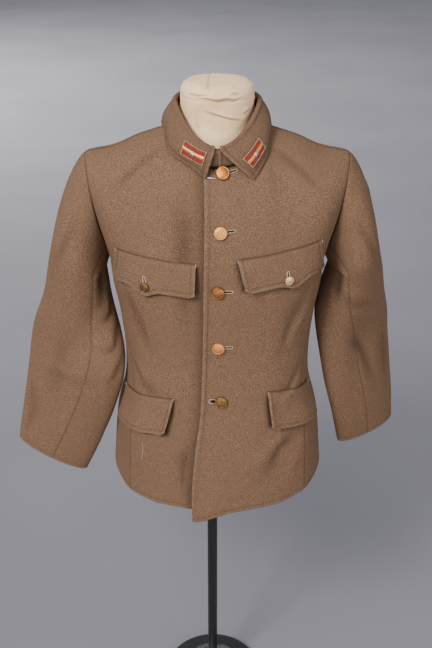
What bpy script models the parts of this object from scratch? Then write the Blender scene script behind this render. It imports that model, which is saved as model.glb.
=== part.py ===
"""Military dress tunic on a limbless dress form with a pole stand.

Metres, +Z up. The origin is on the floor, under the middle of the stand's base.
The tunic faces -Y and +X is the wearer's left. Every cloth piece is a wall of even
thickness whose outer face is worked out by a function of two numbers: an angle
round the body and a level up it, or a turn round the sleeve and a place along it.
"""

import math
from collections import namedtuple

import bmesh
import bpy
import numpy as np

# ---------------------------------------------------------------- driving sizes

WALL = 0.0024            # thickness of the wool cloth
FLAP_WALL = 0.0028       # two layers of cloth in a pocket flap
SEAM_GAP = 0.0003        # between neighbouring pieces
SLEEVE_SEAM_GAP = 0.0007     # between upper and under sleeve, whose seam twists
LAID_GAP = 0.0009        # under what lies on a curved panel
TRIM_GAP = 0.0006        # between a collar tab, its stripe and its star
LAP_GAP = 0.0012         # between the two fronts where they lap

CENTRE_X = 0.009         # the form stands this far to one side of the pole
HEM = 0.537
HEM_RISE = 0.026         # the hem is this much higher at the sides
UNDERARM = 0.985

NECK_POINT = 0.078       # neckline half-width at the shoulder seam
NECK_Y = -0.003
NECK_FRONT = 0.077       # neckline depth forward of NECK_Y
NECK_BACK = 0.073
NECK_Z = 1.197
NECK_DIP = 0.047         # the neckline is this much lower at the front
NECK_RISE = 0.008        # and this much higher at the back
SHOULDER_TIP = 0.208
SHOULDER_DROP = 0.042
SHOULDER_SAG = 0.005     # the outer shoulder seam hangs this far below a straight line
SAG_START = 0.30         # from this share of its length outwards
NECK_ANGLE = math.radians(30)

FRONT_TURN = math.radians(62)     # how far the front rolls back towards the neck
BACK_TURN = math.radians(66)
SHOULDER_TURN = math.radians(86)
FRONT_SCYE = 0.056       # how far each armhole edge swells out of its side line
BACK_SCYE = 0.066

LEFT = 1                 # wearer's left, +X
RIGHT = -1

# Body below the armholes: reach is measured from the middle plane.
Section = namedtuple("Section", "height half_width front back side squareness")
BODY = (
    Section(0.480, 0.198, 0.124, 0.152, 0.030, 0.030),
    Section(0.537, 0.195, 0.124, 0.152, 0.029, 0.030),
    Section(0.610, 0.188, 0.123, 0.152, 0.025, 0.030),
    Section(0.680, 0.180, 0.121, 0.146, 0.020, 0.032),
    Section(0.750, 0.163, 0.117, 0.130, 0.014, 0.036),
    Section(0.830, 0.160, 0.115, 0.120, 0.010, 0.040),
    Section(0.900, 0.167, 0.118, 0.122, 0.007, 0.044),
    Section(0.945, 0.174, 0.121, 0.124, 0.005, 0.046),
    Section(0.985, 0.177, 0.122, 0.125, 0.004, 0.046),
)

# Edge of the front that laps over, in degrees past the middle line.
Edge = namedtuple("Edge", "level degrees")
LAP_EDGE = (
    Edge(0.00, -11.4),
    Edge(0.09, -12.0),
    Edge(0.23, -11.0),
    Edge(0.40, -8.8),
    Edge(0.57, -7.8),
    Edge(0.92, -5.9),
    Edge(1.25, -5.2),
    Edge(1.52, -4.9),
    Edge(2.00, -5.0),
)

# Edge of the front that lies under it.
UNDERLAP_EDGE = (
    Edge(0.00, -9.0),
    Edge(1.00, -7.0),
    Edge(2.00, -5.0),
)

LAP_MARGIN = math.radians(1.5)    # the under front stays down this far past the edge
LAP_WIDTH = math.radians(10)      # and comes up to the body's face over this much
CORNER_WIDTH = math.radians(13)   # the lower front corner of the upper front droops
CORNER_LEVELS = 0.16
CORNER_SHIFT = (0.0, -0.007, -0.020)

# Side seam, in degrees round from the middle of the front.
SIDE_SEAM = (
    Edge(0.00, 50.0),
    Edge(0.35, 54.0),
    Edge(0.70, 68.0),
    Edge(1.00, 90.0),
)

# Largest folds: depth is outward, lean is degrees gained per level or place.
Fold = namedtuple("Fold", "degrees place lean width reach depth")
BODY_FOLDS = (
    Fold(-22.0, 0.10, 6.0, 6.0, 0.30, -0.0040),
    Fold(24.0, 0.16, -40.0, 6.0, 0.22, 0.0035),
    Fold(-48.0, 0.22, 10.0, 8.0, 0.30, 0.0040),
    Fold(52.0, 0.20, 8.0, 8.0, 0.30, 0.0030),
    Fold(-34.0, 0.85, 20.0, 7.0, 0.25, -0.0030),
    Fold(40.0, 0.80, -15.0, 8.0, 0.25, -0.0030),
    Fold(128.0, 0.15, 5.0, 9.0, 0.35, 0.0050),
    Fold(-140.0, 0.20, -6.0, 9.0, 0.35, 0.0045),
    Fold(175.0, 0.45, 0.0, 10.0, 0.30, -0.0040),
)

# Sleeve sections from the upper arm (place 1) to the cuff (place 2).
Arm = namedtuple("Arm", "place out y height half_width half_depth tilt twist")
ARMS = {
    RIGHT: (
        Arm(1.00, 0.2320, 0.004, 0.965, 0.0490, 0.066, 20.0, 0.0),
        Arm(1.20, 0.2370, 0.004, 0.890, 0.0620, 0.052, 16.0, -6.0),
        Arm(1.40, 0.2430, -0.006, 0.815, 0.0860, 0.036, 15.0, -18.0),
        Arm(1.60, 0.2570, -0.010, 0.740, 0.0870, 0.030, 17.0, -18.0),
        Arm(1.80, 0.2790, -0.008, 0.660, 0.0790, 0.026, 21.0, -14.0),
        Arm(2.00, 0.3040, -0.006, 0.584, 0.0690, 0.021, 24.0, -10.0),
    ),
    LEFT: (
        Arm(1.00, 0.2290, 0.010, 0.965, 0.0450, 0.066, 20.0, -8.0),
        Arm(1.20, 0.2300, 0.026, 0.890, 0.0640, 0.050, 12.0, -26.0),
        Arm(1.40, 0.2440, 0.044, 0.815, 0.0800, 0.036, 9.0, -38.0),
        Arm(1.60, 0.2570, 0.055, 0.740, 0.0820, 0.031, 8.0, -41.0),
        Arm(1.80, 0.2740, 0.066, 0.660, 0.0770, 0.027, 7.0, -40.0),
        Arm(2.00, 0.2860, 0.076, 0.586, 0.0700, 0.022, 5.0, -37.0),
    ),
}

# Seams of the two-piece sleeve, in degrees of turn: 0 outer, 90 front, 180 inner.
Seam = namedtuple("Seam", "place front back")
SLEEVE_SEAMS = {
    RIGHT: (Seam(0.0, 138.0, -126.0), Seam(1.0, 128.0, -118.0), Seam(1.5, 114.0, -112.0),
            Seam(2.0, 94.0, -106.0)),
    LEFT: (Seam(0.0, 138.0, -126.0), Seam(1.0, 122.0, -118.0), Seam(1.5, 108.0, -112.0),
           Seam(2.0, 100.0, -106.0)),
}

# Dents and ridges of the sleeves.
SLEEVE_FOLDS = {
    RIGHT: (
        Fold(120.0, 1.28, -90.0, 22.0, 0.14, -0.0060),
        Fold(140.0, 1.46, -60.0, 22.0, 0.12, 0.0040),
        Fold(60.0, 0.85, 40.0, 20.0, 0.25, -0.0030),
        Fold(-90.0, 1.35, 80.0, 24.0, 0.16, -0.0050),
    ),
    LEFT: (
        Fold(110.0, 1.22, -60.0, 22.0, 0.12, 0.0045),
        Fold(105.0, 1.50, 30.0, 20.0, 0.22, -0.0060),
        Fold(60.0, 0.85, -40.0, 20.0, 0.25, -0.0030),
        Fold(-80.0, 1.40, -70.0, 24.0, 0.16, -0.0050),
    ),
}

# Collar: fold line of the turn-down, and where the leaf's lower edge lies on the
# body. Degrees go round the neck from the front, + to the wearer's left.
FOLD_HALF = 0.0665
FOLD_FRONT = 0.083
FOLD_BACK = 0.069
FOLD_FRONT_Z = 1.181
FOLD_SIDE_Z = 1.235
FOLD_BACK_Z = 1.242
COLLAR_FRONT_DEGREES = 3.0
STAND_GAP = 0.0005
ROLL_IN = WALL / 2 + 0.0006
ROLL_OUT = ROLL_IN + WALL
ROLL_SHARE = 0.34        # share of the leaf's width that rolls over the fold line
ROLL_START = math.radians(190)
ROLL_END = math.radians(-12)
LEAF_BELLY = 0.005       # how far the leaf bows out between its fold and its edge
# Away is measured from the middle line of the front or, past the shoulder, of the back.
LeafEdge = namedtuple("LeafEdge", "degrees away level lift")
LEAF_EDGE = {
    RIGHT: (
        LeafEdge(-180.0, 0.0, 1.86, 0.0032),
        LeafEdge(-140.0, -19.0, 1.87, 0.0032),
        LeafEdge(-110.0, -30.5, 1.94, 0.0032),
        LeafEdge(-90.0, -33.6, 1.985, 0.0032),
        LeafEdge(-75.0, -30.2, 1.85, 0.0032),
        LeafEdge(-60.0, -25.0, 1.805, 0.0034),
        LeafEdge(-42.0, -17.5, 1.87, 0.0034),
        LeafEdge(-22.0, -10.5, 1.91, 0.0036),
        LeafEdge(-3.0, -4.5, 1.85, 0.0038),
    ),
    LEFT: (
        LeafEdge(3.0, 14.75, 1.715, 0.0038),
        LeafEdge(30.0, 20.0, 1.735, 0.0036),
        LeafEdge(58.0, 28.5, 1.745, 0.0034),
        LeafEdge(75.0, 31.6, 1.84, 0.0032),
        LeafEdge(90.0, 31.0, 1.985, 0.0032),
        LeafEdge(110.0, 28.8, 1.94, 0.0032),
        LeafEdge(140.0, 19.0, 1.87, 0.0032),
        LeafEdge(180.0, 0.0, 1.86, 0.0032),
    ),
}

# Collar tabs: middle on the leaf by degrees round the neck and share of the leaf, and how
# many degrees the tab is turned on it.
Tab = namedtuple("Tab", "side degrees share tilt")
TABS = (
    Tab(RIGHT, -23.5, 0.604, -4.3),
    Tab(LEFT, 30.7, 0.69, -6.1),
)
TAB_LENGTH = 0.039
TAB_WIDTH = 0.018
TAB_WALL = 0.0014
STRIPE_WIDTH = 0.0048
STRIPE_WALL = 0.0008
STAR_RADIUS = 0.0042
STAR_WALL = 0.0010
STAR_POINTS = 5
STAR_WAIST = 0.45        # radius between the points, as a share of the star's

# Pocket flaps: the two ends of the top edge, the drop of the lower edge, how far its
# point hangs below it, and how many degrees the inner end slants outward.
Flap = namedtuple("Flap", "name side inner inner_height outer outer_height drop point slant lift")
FLAPS = (
    Flap("chest_flap_right", RIGHT, 9.0, 1.010, 60.0, 1.024, 0.055, 0.009, 0.7, 0.0020),
    Flap("chest_flap_left", LEFT, 8.4, 1.018, 64.0, 1.037, 0.054, 0.008, 3.6, 0.0020),
    Flap("hip_flap_right", RIGHT, 23.5, 0.763, 70.0, 0.752, 0.069, 0.0, 3.2, 0.0016),
    Flap("hip_flap_left", LEFT, 28.0, 0.774, 71.0, 0.757, 0.070, 0.0, 0.0, 0.0016),
)
CORNER_ROUND = 0.0050
# Scallops of a pointed flap: share of its width, half-width, and share of the point's drop.
Scallop = namedtuple("Scallop", "share width drop")
SCALLOPS = (
    Scallop(0.50, 0.11, 1.00),
    Scallop(0.74, 0.12, -0.45),
    Scallop(0.28, 0.12, -0.15),
)

# Buttons: degrees round from the front and height of each middle.
Button = namedtuple("Button", "name side degrees height")
FRONT_BUTTONS = (
    Button("button_1", LEFT, 1.9, 1.143),
    Button("button_2", LEFT, 1.2, 1.060),
    Button("button_3", LEFT, 0.3, 0.964),
    Button("button_4", LEFT, 0.5, 0.863),
    Button("button_5", LEFT, 1.9, 0.762),
)
FLAP_BUTTONS = (
    Button("flap_button_right", RIGHT, 34.6, 0.969),
    Button("flap_button_left", LEFT, 33.0, 0.981),
)
BUTTON_RADIUS = 0.0104
FLAP_BUTTON_RADIUS = 0.0075
BUTTON_THICKNESS = 0.0038
BUTTON_SIDES = 16
SHANK_RADIUS = 0.0026
SHANK_LENGTH = 0.0018

HOOK_LENGTH = 0.0135
HOOK_DEGREES = -2.2
HOOK_HEIGHT = 1.137
HOOK_RADIUS = 0.0008

# Dress form and stand
Girth = namedtuple("Girth", "level inset")
FORM_INSET = (
    Girth(0.10, 0.020),
    Girth(0.35, 0.016),
    Girth(0.60, 0.011),
    Girth(1.00, 0.007),
    Girth(1.40, 0.004),
    Girth(1.75, 0.0012),
    Girth(2.00, 0.0005),
)
FORM_BOTTOM_LEVEL = 0.15
FORM_SECOND_LEVEL = 0.25
FORM_FRONT_EXTRA = 0.005     # more room behind the lapped fronts
FORM_FRONT_WIDTH = math.radians(20)
FORM_NECK_EXTRA = 0.0045     # and under the neckline
FORM_NECK_WIDTH = math.radians(8)
FORM_NECK_LEVEL = 1.5
TOP_LEVEL = 2.0
NECK_HALF = 0.0570
NECK_HALF_DEPTH = 0.0585
NeckRing = namedtuple("NeckRing", "height scale y")
NECK_RINGS = (
    NeckRing(1.192, 1.050, -0.004),
    NeckRing(1.205, 1.010, -0.005),
    NeckRing(1.224, 1.000, -0.006),
    NeckRing(1.243, 0.995, -0.007),
)
NECK_ROOT_SHARE = 0.35   # the neck's root lies this far in from the neckline,
NECK_ROOT_DIP = 0.002    # and this far below it
# Half section of the rounded cap: share of the neck's size, and height above its seam.
CAP_PROFILE = (
    (0.0, 0.0),
    (0.985, 0.0),
    (1.0, 0.004),
    (0.990, 0.011),
    (0.94, 0.0175),
    (0.81, 0.0225),
    (0.50, 0.0252),
    (0.0, 0.0260),
)
CAP_SIDES = 28
POLE_RADIUS = 0.0095
POLE_SIDES = 20
FLANGE_RADIUS = 0.032
FLANGE_HEIGHT = 0.012
BASE_RADIUS = 0.100
BASE_EDGE = 0.012
RING_RADIUS = 0.0575
RING_TOP = 0.032
HUB_RADIUS = 0.020
HUB_TOP = 0.052
BASE_SIDES = 40

FRONT_MIDDLE_CELLS = 7
NECK_CELLS = 6           # in each quarter of the neckline
SHOULDER_CELLS = 8
LOWER_CELLS = 10
UPPER_CELLS = 9
UPPER_SPREAD = 1.3       # packs the rows towards the underarm
UNDER_SLEEVE_CELLS = 7
UPPER_SLEEVE_CELLS = 11
HEAD_CELLS = 5
LEAVE_OUT = (0.12, 0.46)     # how the sleeve head leaves the armhole: at the underarm,
LEAVE_DOWN = (1.0, -0.40)    # and what is gained towards the shoulder
FIRST_PLACE = 0.02           # where the sleeve's direction at the armhole is taken
ARM_CELLS = 10

WOOL = ("wool cloth", (0.245, 0.165, 0.110), 0.92, 0.0)
COLLAR_WOOL = ("collar wool", (0.235, 0.158, 0.105), 0.92, 0.0)
BRASS = ("brass", (0.62, 0.40, 0.20), 0.35, 1.0)
TAB_RED = ("red tab cloth", (0.45, 0.05, 0.05), 0.85, 0.0)
GOLD_BRAID = ("gold braid", (0.78, 0.50, 0.20), 0.5, 0.3)
PALE_METAL = ("pale metal", (0.70, 0.68, 0.62), 0.35, 1.0)
CANVAS = ("cream canvas", (0.80, 0.69, 0.55), 0.85, 0.0)
BLACK_METAL = ("black painted metal", (0.02, 0.02, 0.022), 0.4, 0.6)
STEEL = ("steel", (0.45, 0.45, 0.46), 0.3, 1.0)

SMALL_STEP = 1e-3        # for directions along a surface


# ---------------------------------------------------------------- small helpers

def clear_scene():
    """Start from an empty scene."""
    for thing in list(bpy.data.objects):
        bpy.data.objects.remove(thing, do_unlink=True)


def smooth(table, column, place):
    """A table column at each place along the table's first column, on a smooth curve."""
    keys = np.array([row[0] for row in table], dtype=float)
    values = np.array([getattr(row, column) for row in table], dtype=float)
    slopes = np.gradient(values, keys)
    place = np.clip(place, keys[0], keys[-1])
    row = np.clip(np.searchsorted(keys, place) - 1, 0, len(keys) - 2)
    step = keys[row + 1] - keys[row]
    u = (place - keys[row]) / step
    start = (1 + 2 * u) * (1 - u) ** 2 * values[row] + u * (1 - u) ** 2 * step * slopes[row]
    end = u * u * (3 - 2 * u) * values[row + 1] + u * u * (u - 1) * step * slopes[row + 1]
    return start + end


def ease(value):
    """0 to 1 with a soft start and end."""
    value = np.clip(value, 0.0, 1.0)
    return value * value * (3 - 2 * value)


def unit(vectors):
    """Vectors of length one."""
    length = np.linalg.norm(vectors, axis=-1, keepdims=True)
    return vectors / np.maximum(length, 1e-12)


def face_normals(surface, across, up):
    """Outward unit normals of a surface(across, up) by small steps along both."""
    step = 2e-4
    along = surface(across + step, up) - surface(across - step, up)
    rise = surface(across, up + step) - surface(across, up - step)
    return unit(np.cross(along, rise))


# ---------------------------------------------------------------- body surface

def fold_height(folds, degrees, place):
    """Outward shift of a list of folds at each place."""
    total = np.zeros(np.broadcast(degrees, place).shape)
    for fold in folds:
        away = degrees - fold.degrees - fold.lean * (place - fold.place)
        away = (away + 180.0) % 360.0 - 180.0
        across = np.exp(-(away / fold.width) ** 2)
        along = np.exp(-((place - fold.place) / fold.reach) ** 2)
        total = total + fold.depth * across * along
    return total


def body_ring(angle, height):
    """Level ring of the body: a rounded oval, wider at the side line."""
    half = smooth(BODY, "half_width", height)
    front = smooth(BODY, "front", height)
    back = smooth(BODY, "back", height)
    side = smooth(BODY, "side", height)
    square = smooth(BODY, "squareness", height)
    wide = (np.sin(angle) + square * np.sin(3 * angle)) / (1 - square)
    deep = (np.cos(angle) - square * np.cos(3 * angle)) / (1 - square)
    reach = np.where(np.cos(angle) >= 0, side + front, back - side)
    return np.stack([CENTRE_X + half * wide, side - reach * deep, height], axis=-1)


def top_line(angle, back):
    """Neckline and shoulder seam: where the body ends at the top."""
    side = np.where(angle < 0, -1.0, 1.0)
    away = np.pi - np.abs(angle) if back else np.abs(angle)
    round_neck = np.clip(away / NECK_ANGLE, 0, 1) * np.pi / 2
    along_shoulder = np.clip((away - NECK_ANGLE) / (np.pi / 2 - NECK_ANGLE), 0, None)
    out = NECK_POINT * np.sin(round_neck) + (SHOULDER_TIP - NECK_POINT) * along_shoulder
    depth = -NECK_BACK if back else NECK_FRONT
    drop = -NECK_RISE if back else NECK_DIP
    y = NECK_Y - depth * np.cos(round_neck)
    z = NECK_Z - drop * np.cos(round_neck) - SHOULDER_DROP * along_shoulder
    past_start = np.clip((along_shoulder - SAG_START) / (1 - SAG_START), 0, 1)
    z = z - SHOULDER_SAG * np.sin(np.pi * past_start) ** 2
    return np.stack([CENTRE_X + side * out, y, z], axis=-1)


def shoulder_part(angle, rise, back):
    """Body above the underarm: rolls from the chest ring to the top line."""
    base = body_ring(angle, np.full(np.shape(angle), UNDERARM))
    top = top_line(angle, back)
    away = np.pi - np.abs(angle) if back else np.abs(angle)
    neck_turn = BACK_TURN if back else FRONT_TURN
    turn = neck_turn + (SHOULDER_TURN - neck_turn) * ease(away / NECK_ANGLE)
    up = np.sin(turn * rise) / np.sin(turn)
    inward = (1 - np.cos(turn * rise)) / (1 - np.cos(turn))
    x = base[..., 0] + (top[..., 0] - base[..., 0]) * up
    y = base[..., 1] + (top[..., 1] - base[..., 1]) * inward
    z = base[..., 2] + (top[..., 2] - base[..., 2]) * up
    swell = BACK_SCYE if back else -FRONT_SCYE
    weight = ease((away - NECK_ANGLE) / (np.pi / 2 - NECK_ANGLE))
    y = y + swell * weight * np.sin(np.pi * np.clip(rise, 0, None) ** 0.8)
    return np.stack([x, y, z], axis=-1)


def hem_height(angle):
    """Height of the hem round the body."""
    return HEM + HEM_RISE * np.sin(angle) ** 2


def body(angle, level, back=False):
    """Outer face of the body: level 0 at the hem, 1 at the underarm, 2 at the top."""
    angle, level = np.broadcast_arrays(angle, level)
    hem = hem_height(angle)
    height = hem + (UNDERARM - hem) * np.minimum(level, 1.0)
    lower = body_ring(angle, height)
    upper = shoulder_part(angle, np.maximum(level - 1.0, 0.0), back)
    points = np.where((level <= 1.0)[..., None], lower, upper)
    shift = fold_height(BODY_FOLDS, np.degrees(angle), level)
    outward = np.stack([np.sin(angle), -np.cos(angle), np.zeros(angle.shape)], axis=-1)
    return points + outward * shift[..., None]


def over_front(angle, level):
    """Left front: it laps over, and its lower corner stands forward and droops."""
    points = body(angle, level)
    edge = np.radians(smooth(LAP_EDGE, "degrees", level))
    near_edge = np.exp(-((angle - edge) / CORNER_WIDTH) ** 2)
    corner = near_edge * np.exp(-(level / CORNER_LEVELS) ** 2)
    return points + corner[..., None] * np.array(CORNER_SHIFT)


def under_front(angle, level):
    """Right front: it lies behind the left front near the middle."""
    points = body(angle, level)
    edge = -np.radians(smooth(LAP_EDGE, "degrees", level))
    past = (-angle - edge - LAP_MARGIN) / LAP_WIDTH
    shift = (WALL + LAP_GAP) * (1 - ease(past))
    inward = np.stack([-np.sin(angle), np.cos(angle), np.zeros(np.shape(angle))], axis=-1)
    return points + inward * shift[..., None]


def front_surface(side):
    """The surface function of one front."""
    return over_front if side == LEFT else under_front


def back_surface(angle, level):
    """One-piece back."""
    return body(angle, level, back=True)


def level_rows():
    """Levels of the body's rows, closer together near the underarm."""
    lower = np.linspace(0.0, 1.0, LOWER_CELLS + 1)
    upper = 1 + np.linspace(0.0, 1.0, UPPER_CELLS + 1)[1:] ** UPPER_SPREAD
    return np.concatenate([lower, upper])


def between_rows(surface):
    """A panel's surface as its solid has it, straight from row to row."""
    rows = level_rows()

    def faceted(angle, level):
        row = np.clip(np.searchsorted(rows, level) - 1, 0, len(rows) - 2)
        share = ((level - rows[row]) / (rows[row + 1] - rows[row]))[..., None]
        return surface(angle, rows[row]) * (1 - share) + surface(angle, rows[row + 1]) * share

    return faceted


def level_at(angle, height):
    """Level of the front at an angle and a height."""
    if height <= UNDERARM:
        return (height - hem_height(angle)) / (UNDERARM - hem_height(angle))
    low, high = 1.0, 2.0
    for _ in range(40):
        middle = (low + high) / 2
        if body(np.array(angle), np.array(middle))[2] < height:
            low = middle
        else:
            high = middle
    return (low + high) / 2


# ---------------------------------------------------------------- mesh building

def make_material(finish):
    """A Principled material of one colour, roughness and metallic value."""
    name, colour, roughness, metallic = finish
    material = bpy.data.materials.get(name)
    if material is None:
        material = bpy.data.materials.new(name)
        material.use_nodes = True
        shader = material.node_tree.nodes["Principled BSDF"]
        shader.inputs["Base Color"].default_value = (*colour, 1.0)
        shader.inputs["Roughness"].default_value = roughness
        shader.inputs["Metallic"].default_value = metallic
    return material


def add_object(name, mesh_data, finish):
    """Turn bmesh data into a named object, faces pointing out."""
    bmesh.ops.remove_doubles(mesh_data, verts=mesh_data.verts, dist=2e-6)
    bmesh.ops.dissolve_degenerate(mesh_data, edges=mesh_data.edges, dist=1e-7)
    bmesh.ops.recalc_face_normals(mesh_data, faces=mesh_data.faces)
    mesh = bpy.data.meshes.new(name)
    mesh_data.to_mesh(mesh)
    mesh_data.free()
    mesh.materials.append(make_material(finish))
    mesh.shade_smooth()
    mesh.set_sharp_from_angle(angle=math.radians(50))
    thing = bpy.data.objects.new(name, mesh)
    bpy.context.scene.collection.objects.link(thing)
    return thing


def draw_in(grid, edges, distance):
    """Move the edge rows and columns of a grid of points a little way inward."""
    grid = grid.copy()
    if "start" in edges:
        grid[:, 0] += unit(grid[:, 1] - grid[:, 0]) * distance
    if "end" in edges:
        grid[:, -1] += unit(grid[:, -2] - grid[:, -1]) * distance
    if "bottom" in edges:
        grid[0] += unit(grid[1] - grid[0]) * distance
    if "top" in edges:
        grid[-1] += unit(grid[-2] - grid[-1]) * distance
    return grid


def split_square(one, two, three, four):
    """Two triangles, cut the same way everywhere, so that layers follow each other."""
    return [(one, two, three), (one, three, four)]


def add_sheet(mesh_data, outer, inner):
    """Closed wall between two grids of points."""
    rows, columns = outer.shape[:2]
    faces = []
    layers = []
    for grid in (outer, inner):
        layers.append([[mesh_data.verts.new(point) for point in row] for row in grid])
    for layer in layers:
        for i in range(rows - 1):
            for j in range(columns - 1):
                faces += split_square(layer[i][j], layer[i][j + 1],
                                      layer[i + 1][j + 1], layer[i + 1][j])
    rim = [(0, j) for j in range(columns)]
    rim += [(i, columns - 1) for i in range(1, rows)]
    rim += [(rows - 1, j) for j in range(columns - 2, -1, -1)]
    rim += [(i, 0) for i in range(rows - 2, 0, -1)]
    top, low = layers
    for here, there in zip(rim, rim[1:] + rim[:1]):
        faces += split_square(top[here[0]][here[1]], low[here[0]][here[1]],
                              low[there[0]][there[1]], top[there[0]][there[1]])
    for face in faces:
        mesh_data.faces.new(face)


def sheet_object(name, outer, inner, finish=WOOL):
    """A wall of cloth as an object."""
    mesh_data = bmesh.new()
    add_sheet(mesh_data, outer, inner)
    return add_object(name, mesh_data, finish)


def shoulder_mitre(normals, angle):
    """Stand the wall's top edge upright along the shoulder seam."""
    away = np.minimum(np.abs(angle[-1]), np.abs(2 * np.pi - np.abs(angle[-1])))
    away = np.minimum(away, np.pi - away)
    on_shoulder = away >= NECK_ANGLE - 1e-6
    normals[-1, on_shoulder, 1] = 0.0
    return unit(normals)


def body_walls(surface, across, up, thickness):
    """Outer and inner points of a body panel's wall."""
    points = surface(across, up)
    normals = shoulder_mitre(face_normals(surface, across, up), across)
    return points, points - normals * thickness


def wall_grids(surface, across, up, thickness, lift=0.0):
    """Outer and inner points of a wall on a surface; lift moves both outward."""
    points = surface(across, up)
    normals = face_normals(surface, across, up)
    lift = np.broadcast_to(lift, across.shape)[..., None]
    return points + normals * lift, points + normals * (lift - thickness)


def join_rings(mesh_data, rings, sides):
    """Faces between rings of vertices; a ring of one vertex closes the solid."""
    for low, high in zip(rings, rings[1:]):
        for k in range(sides):
            after = (k + 1) % sides
            corners = []
            for ring, at in ((low, k), (low, after), (high, after), (high, k)):
                vertex = ring[at % len(ring)]
                if vertex not in corners:
                    corners.append(vertex)
            faces = split_square(*corners) if len(corners) == 4 else [corners]
            for face in faces:
                mesh_data.faces.new(face)


def turned_object(name, profile, middle, axis, sides, finish):
    """Solid turned round an axis from (radius, height) points, closed on the axis."""
    axis = unit(np.array(axis, dtype=float))
    helper = np.array([1.0, 0.0, 0.0]) if abs(axis[0]) < 0.9 else np.array([0.0, 1.0, 0.0])
    first = unit(np.cross(axis, helper))
    second = np.cross(axis, first)
    mesh_data = bmesh.new()
    rings = []
    for radius, height in profile:
        ring = []
        for k in range(sides if radius > 0 else 1):
            turn = 2 * math.pi * k / sides
            place = middle + axis * height
            place = place + radius * (math.cos(turn) * first + math.sin(turn) * second)
            ring.append(mesh_data.verts.new(place))
        rings.append(ring)
    join_rings(mesh_data, rings, sides)
    return add_object(name, mesh_data, finish)


# ---------------------------------------------------------------- fronts and back

def side_seam_angle(level):
    """Angle of the side seam and, above it, of the armhole edge."""
    return np.radians(np.where(level >= 1.0, 90.0, smooth(SIDE_SEAM, "degrees", level)))


def column_angles(start, seam):
    """Angles of one front's columns: middle part, then out to the side seam."""
    middle = np.linspace(0, 1, FRONT_MIDDLE_CELLS + 1)[:-1]
    outer = np.linspace(0, 1, SHOULDER_CELLS + 1)
    inner_part = start[:, None] + (NECK_ANGLE - start[:, None]) * middle
    outer_part = NECK_ANGLE + (seam[:, None] - NECK_ANGLE) * outer
    return np.concatenate([inner_part, outer_part], axis=1)


def make_front(side):
    """One front panel from its front edge to the side seam and armhole."""
    levels = level_rows()
    if side == LEFT:
        start = np.radians(smooth(LAP_EDGE, "degrees", levels))
    else:
        start = np.radians(smooth(UNDERLAP_EDGE, "degrees", levels))
    angles = side * column_angles(start, side_seam_angle(levels))
    if side == RIGHT:
        angles = angles[:, ::-1]
    up = np.broadcast_to(levels[:, None], angles.shape)
    outer, inner = body_walls(front_surface(side), angles, up, WALL)
    edges = ("top", "end") if side == LEFT else ("top", "start")
    outer = draw_in(outer, edges, SEAM_GAP / 2)
    inner = draw_in(inner, edges, SEAM_GAP / 2)
    name = "front_left" if side == LEFT else "front_right"
    return sheet_object(name, outer, inner)


def make_back():
    """The back, from side seam to side seam round the back."""
    levels = level_rows()
    seam = side_seam_angle(levels)
    outer_share = np.linspace(0, 1, SHOULDER_CELLS + 1)
    middle_share = np.linspace(0, 1, NECK_CELLS * 2 + 1)[1:-1]
    past_neck = np.pi - NECK_ANGLE
    first = seam[:, None] + (past_neck - seam[:, None]) * outer_share
    middle = past_neck + 2 * NECK_ANGLE * middle_share
    middle = np.broadcast_to(middle, (len(levels), len(middle_share)))
    last = 2 * np.pi - first[:, ::-1]
    angles = np.concatenate([first, middle, last], axis=1)
    up = np.broadcast_to(levels[:, None], angles.shape)

    def surface(angle, level):
        wrapped = np.where(angle > np.pi, angle - 2 * np.pi, angle)
        return back_surface(wrapped, level)

    outer, inner = body_walls(surface, angles, up, WALL)
    edges = ("top", "start", "end")
    outer = draw_in(outer, edges, SEAM_GAP / 2)
    inner = draw_in(inner, edges, SEAM_GAP / 2)
    return sheet_object("back", outer, inner)


# ---------------------------------------------------------------- sleeves

def armhole_rise(turn):
    """Share of the way up the armhole for a turn round it."""
    up = (1 + np.cos(turn)) / 2
    return np.arcsin(np.clip(up * math.sin(SHOULDER_TURN), 0, 1)) / SHOULDER_TURN


def armhole(turn, side):
    """Point of the armhole edge: turn 0 at the shoulder tip, + towards the front."""
    rise = armhole_rise(turn)
    angle = np.full(np.shape(turn), side * np.pi / 2)
    front = body(angle, 1 + rise, back=False)
    back = body(angle, 1 + rise, back=True)
    return np.where((turn >= 0)[..., None], front, back)


def arm_axes(place, side):
    """Middle, across and forward directions of a sleeve section."""
    table = ARMS[side]
    out = smooth(table, "out", place)
    tilt = np.radians(smooth(table, "tilt", place))
    twist = np.radians(smooth(table, "twist", place))
    zero = np.zeros(np.shape(place))
    middle = np.stack([CENTRE_X + side * out, smooth(table, "y", place),
                       smooth(table, "height", place)], axis=-1)
    across = np.stack([side * np.cos(tilt), zero, np.sin(tilt)], axis=-1)
    forward = np.stack([zero, zero - 1, zero], axis=-1)
    turned_across = across * np.cos(twist)[..., None] + forward * np.sin(twist)[..., None]
    turned_forward = forward * np.cos(twist)[..., None] - across * np.sin(twist)[..., None]
    return middle, turned_across, turned_forward


def arm_ring(turn, place, side):
    """Oval section of the hanging sleeve."""
    middle, across, forward = arm_axes(place, side)
    wide = smooth(ARMS[side], "half_width", place) * np.cos(turn)
    deep = smooth(ARMS[side], "half_depth", place) * np.sin(turn)
    return middle + across * wide[..., None] + forward * deep[..., None]


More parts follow.
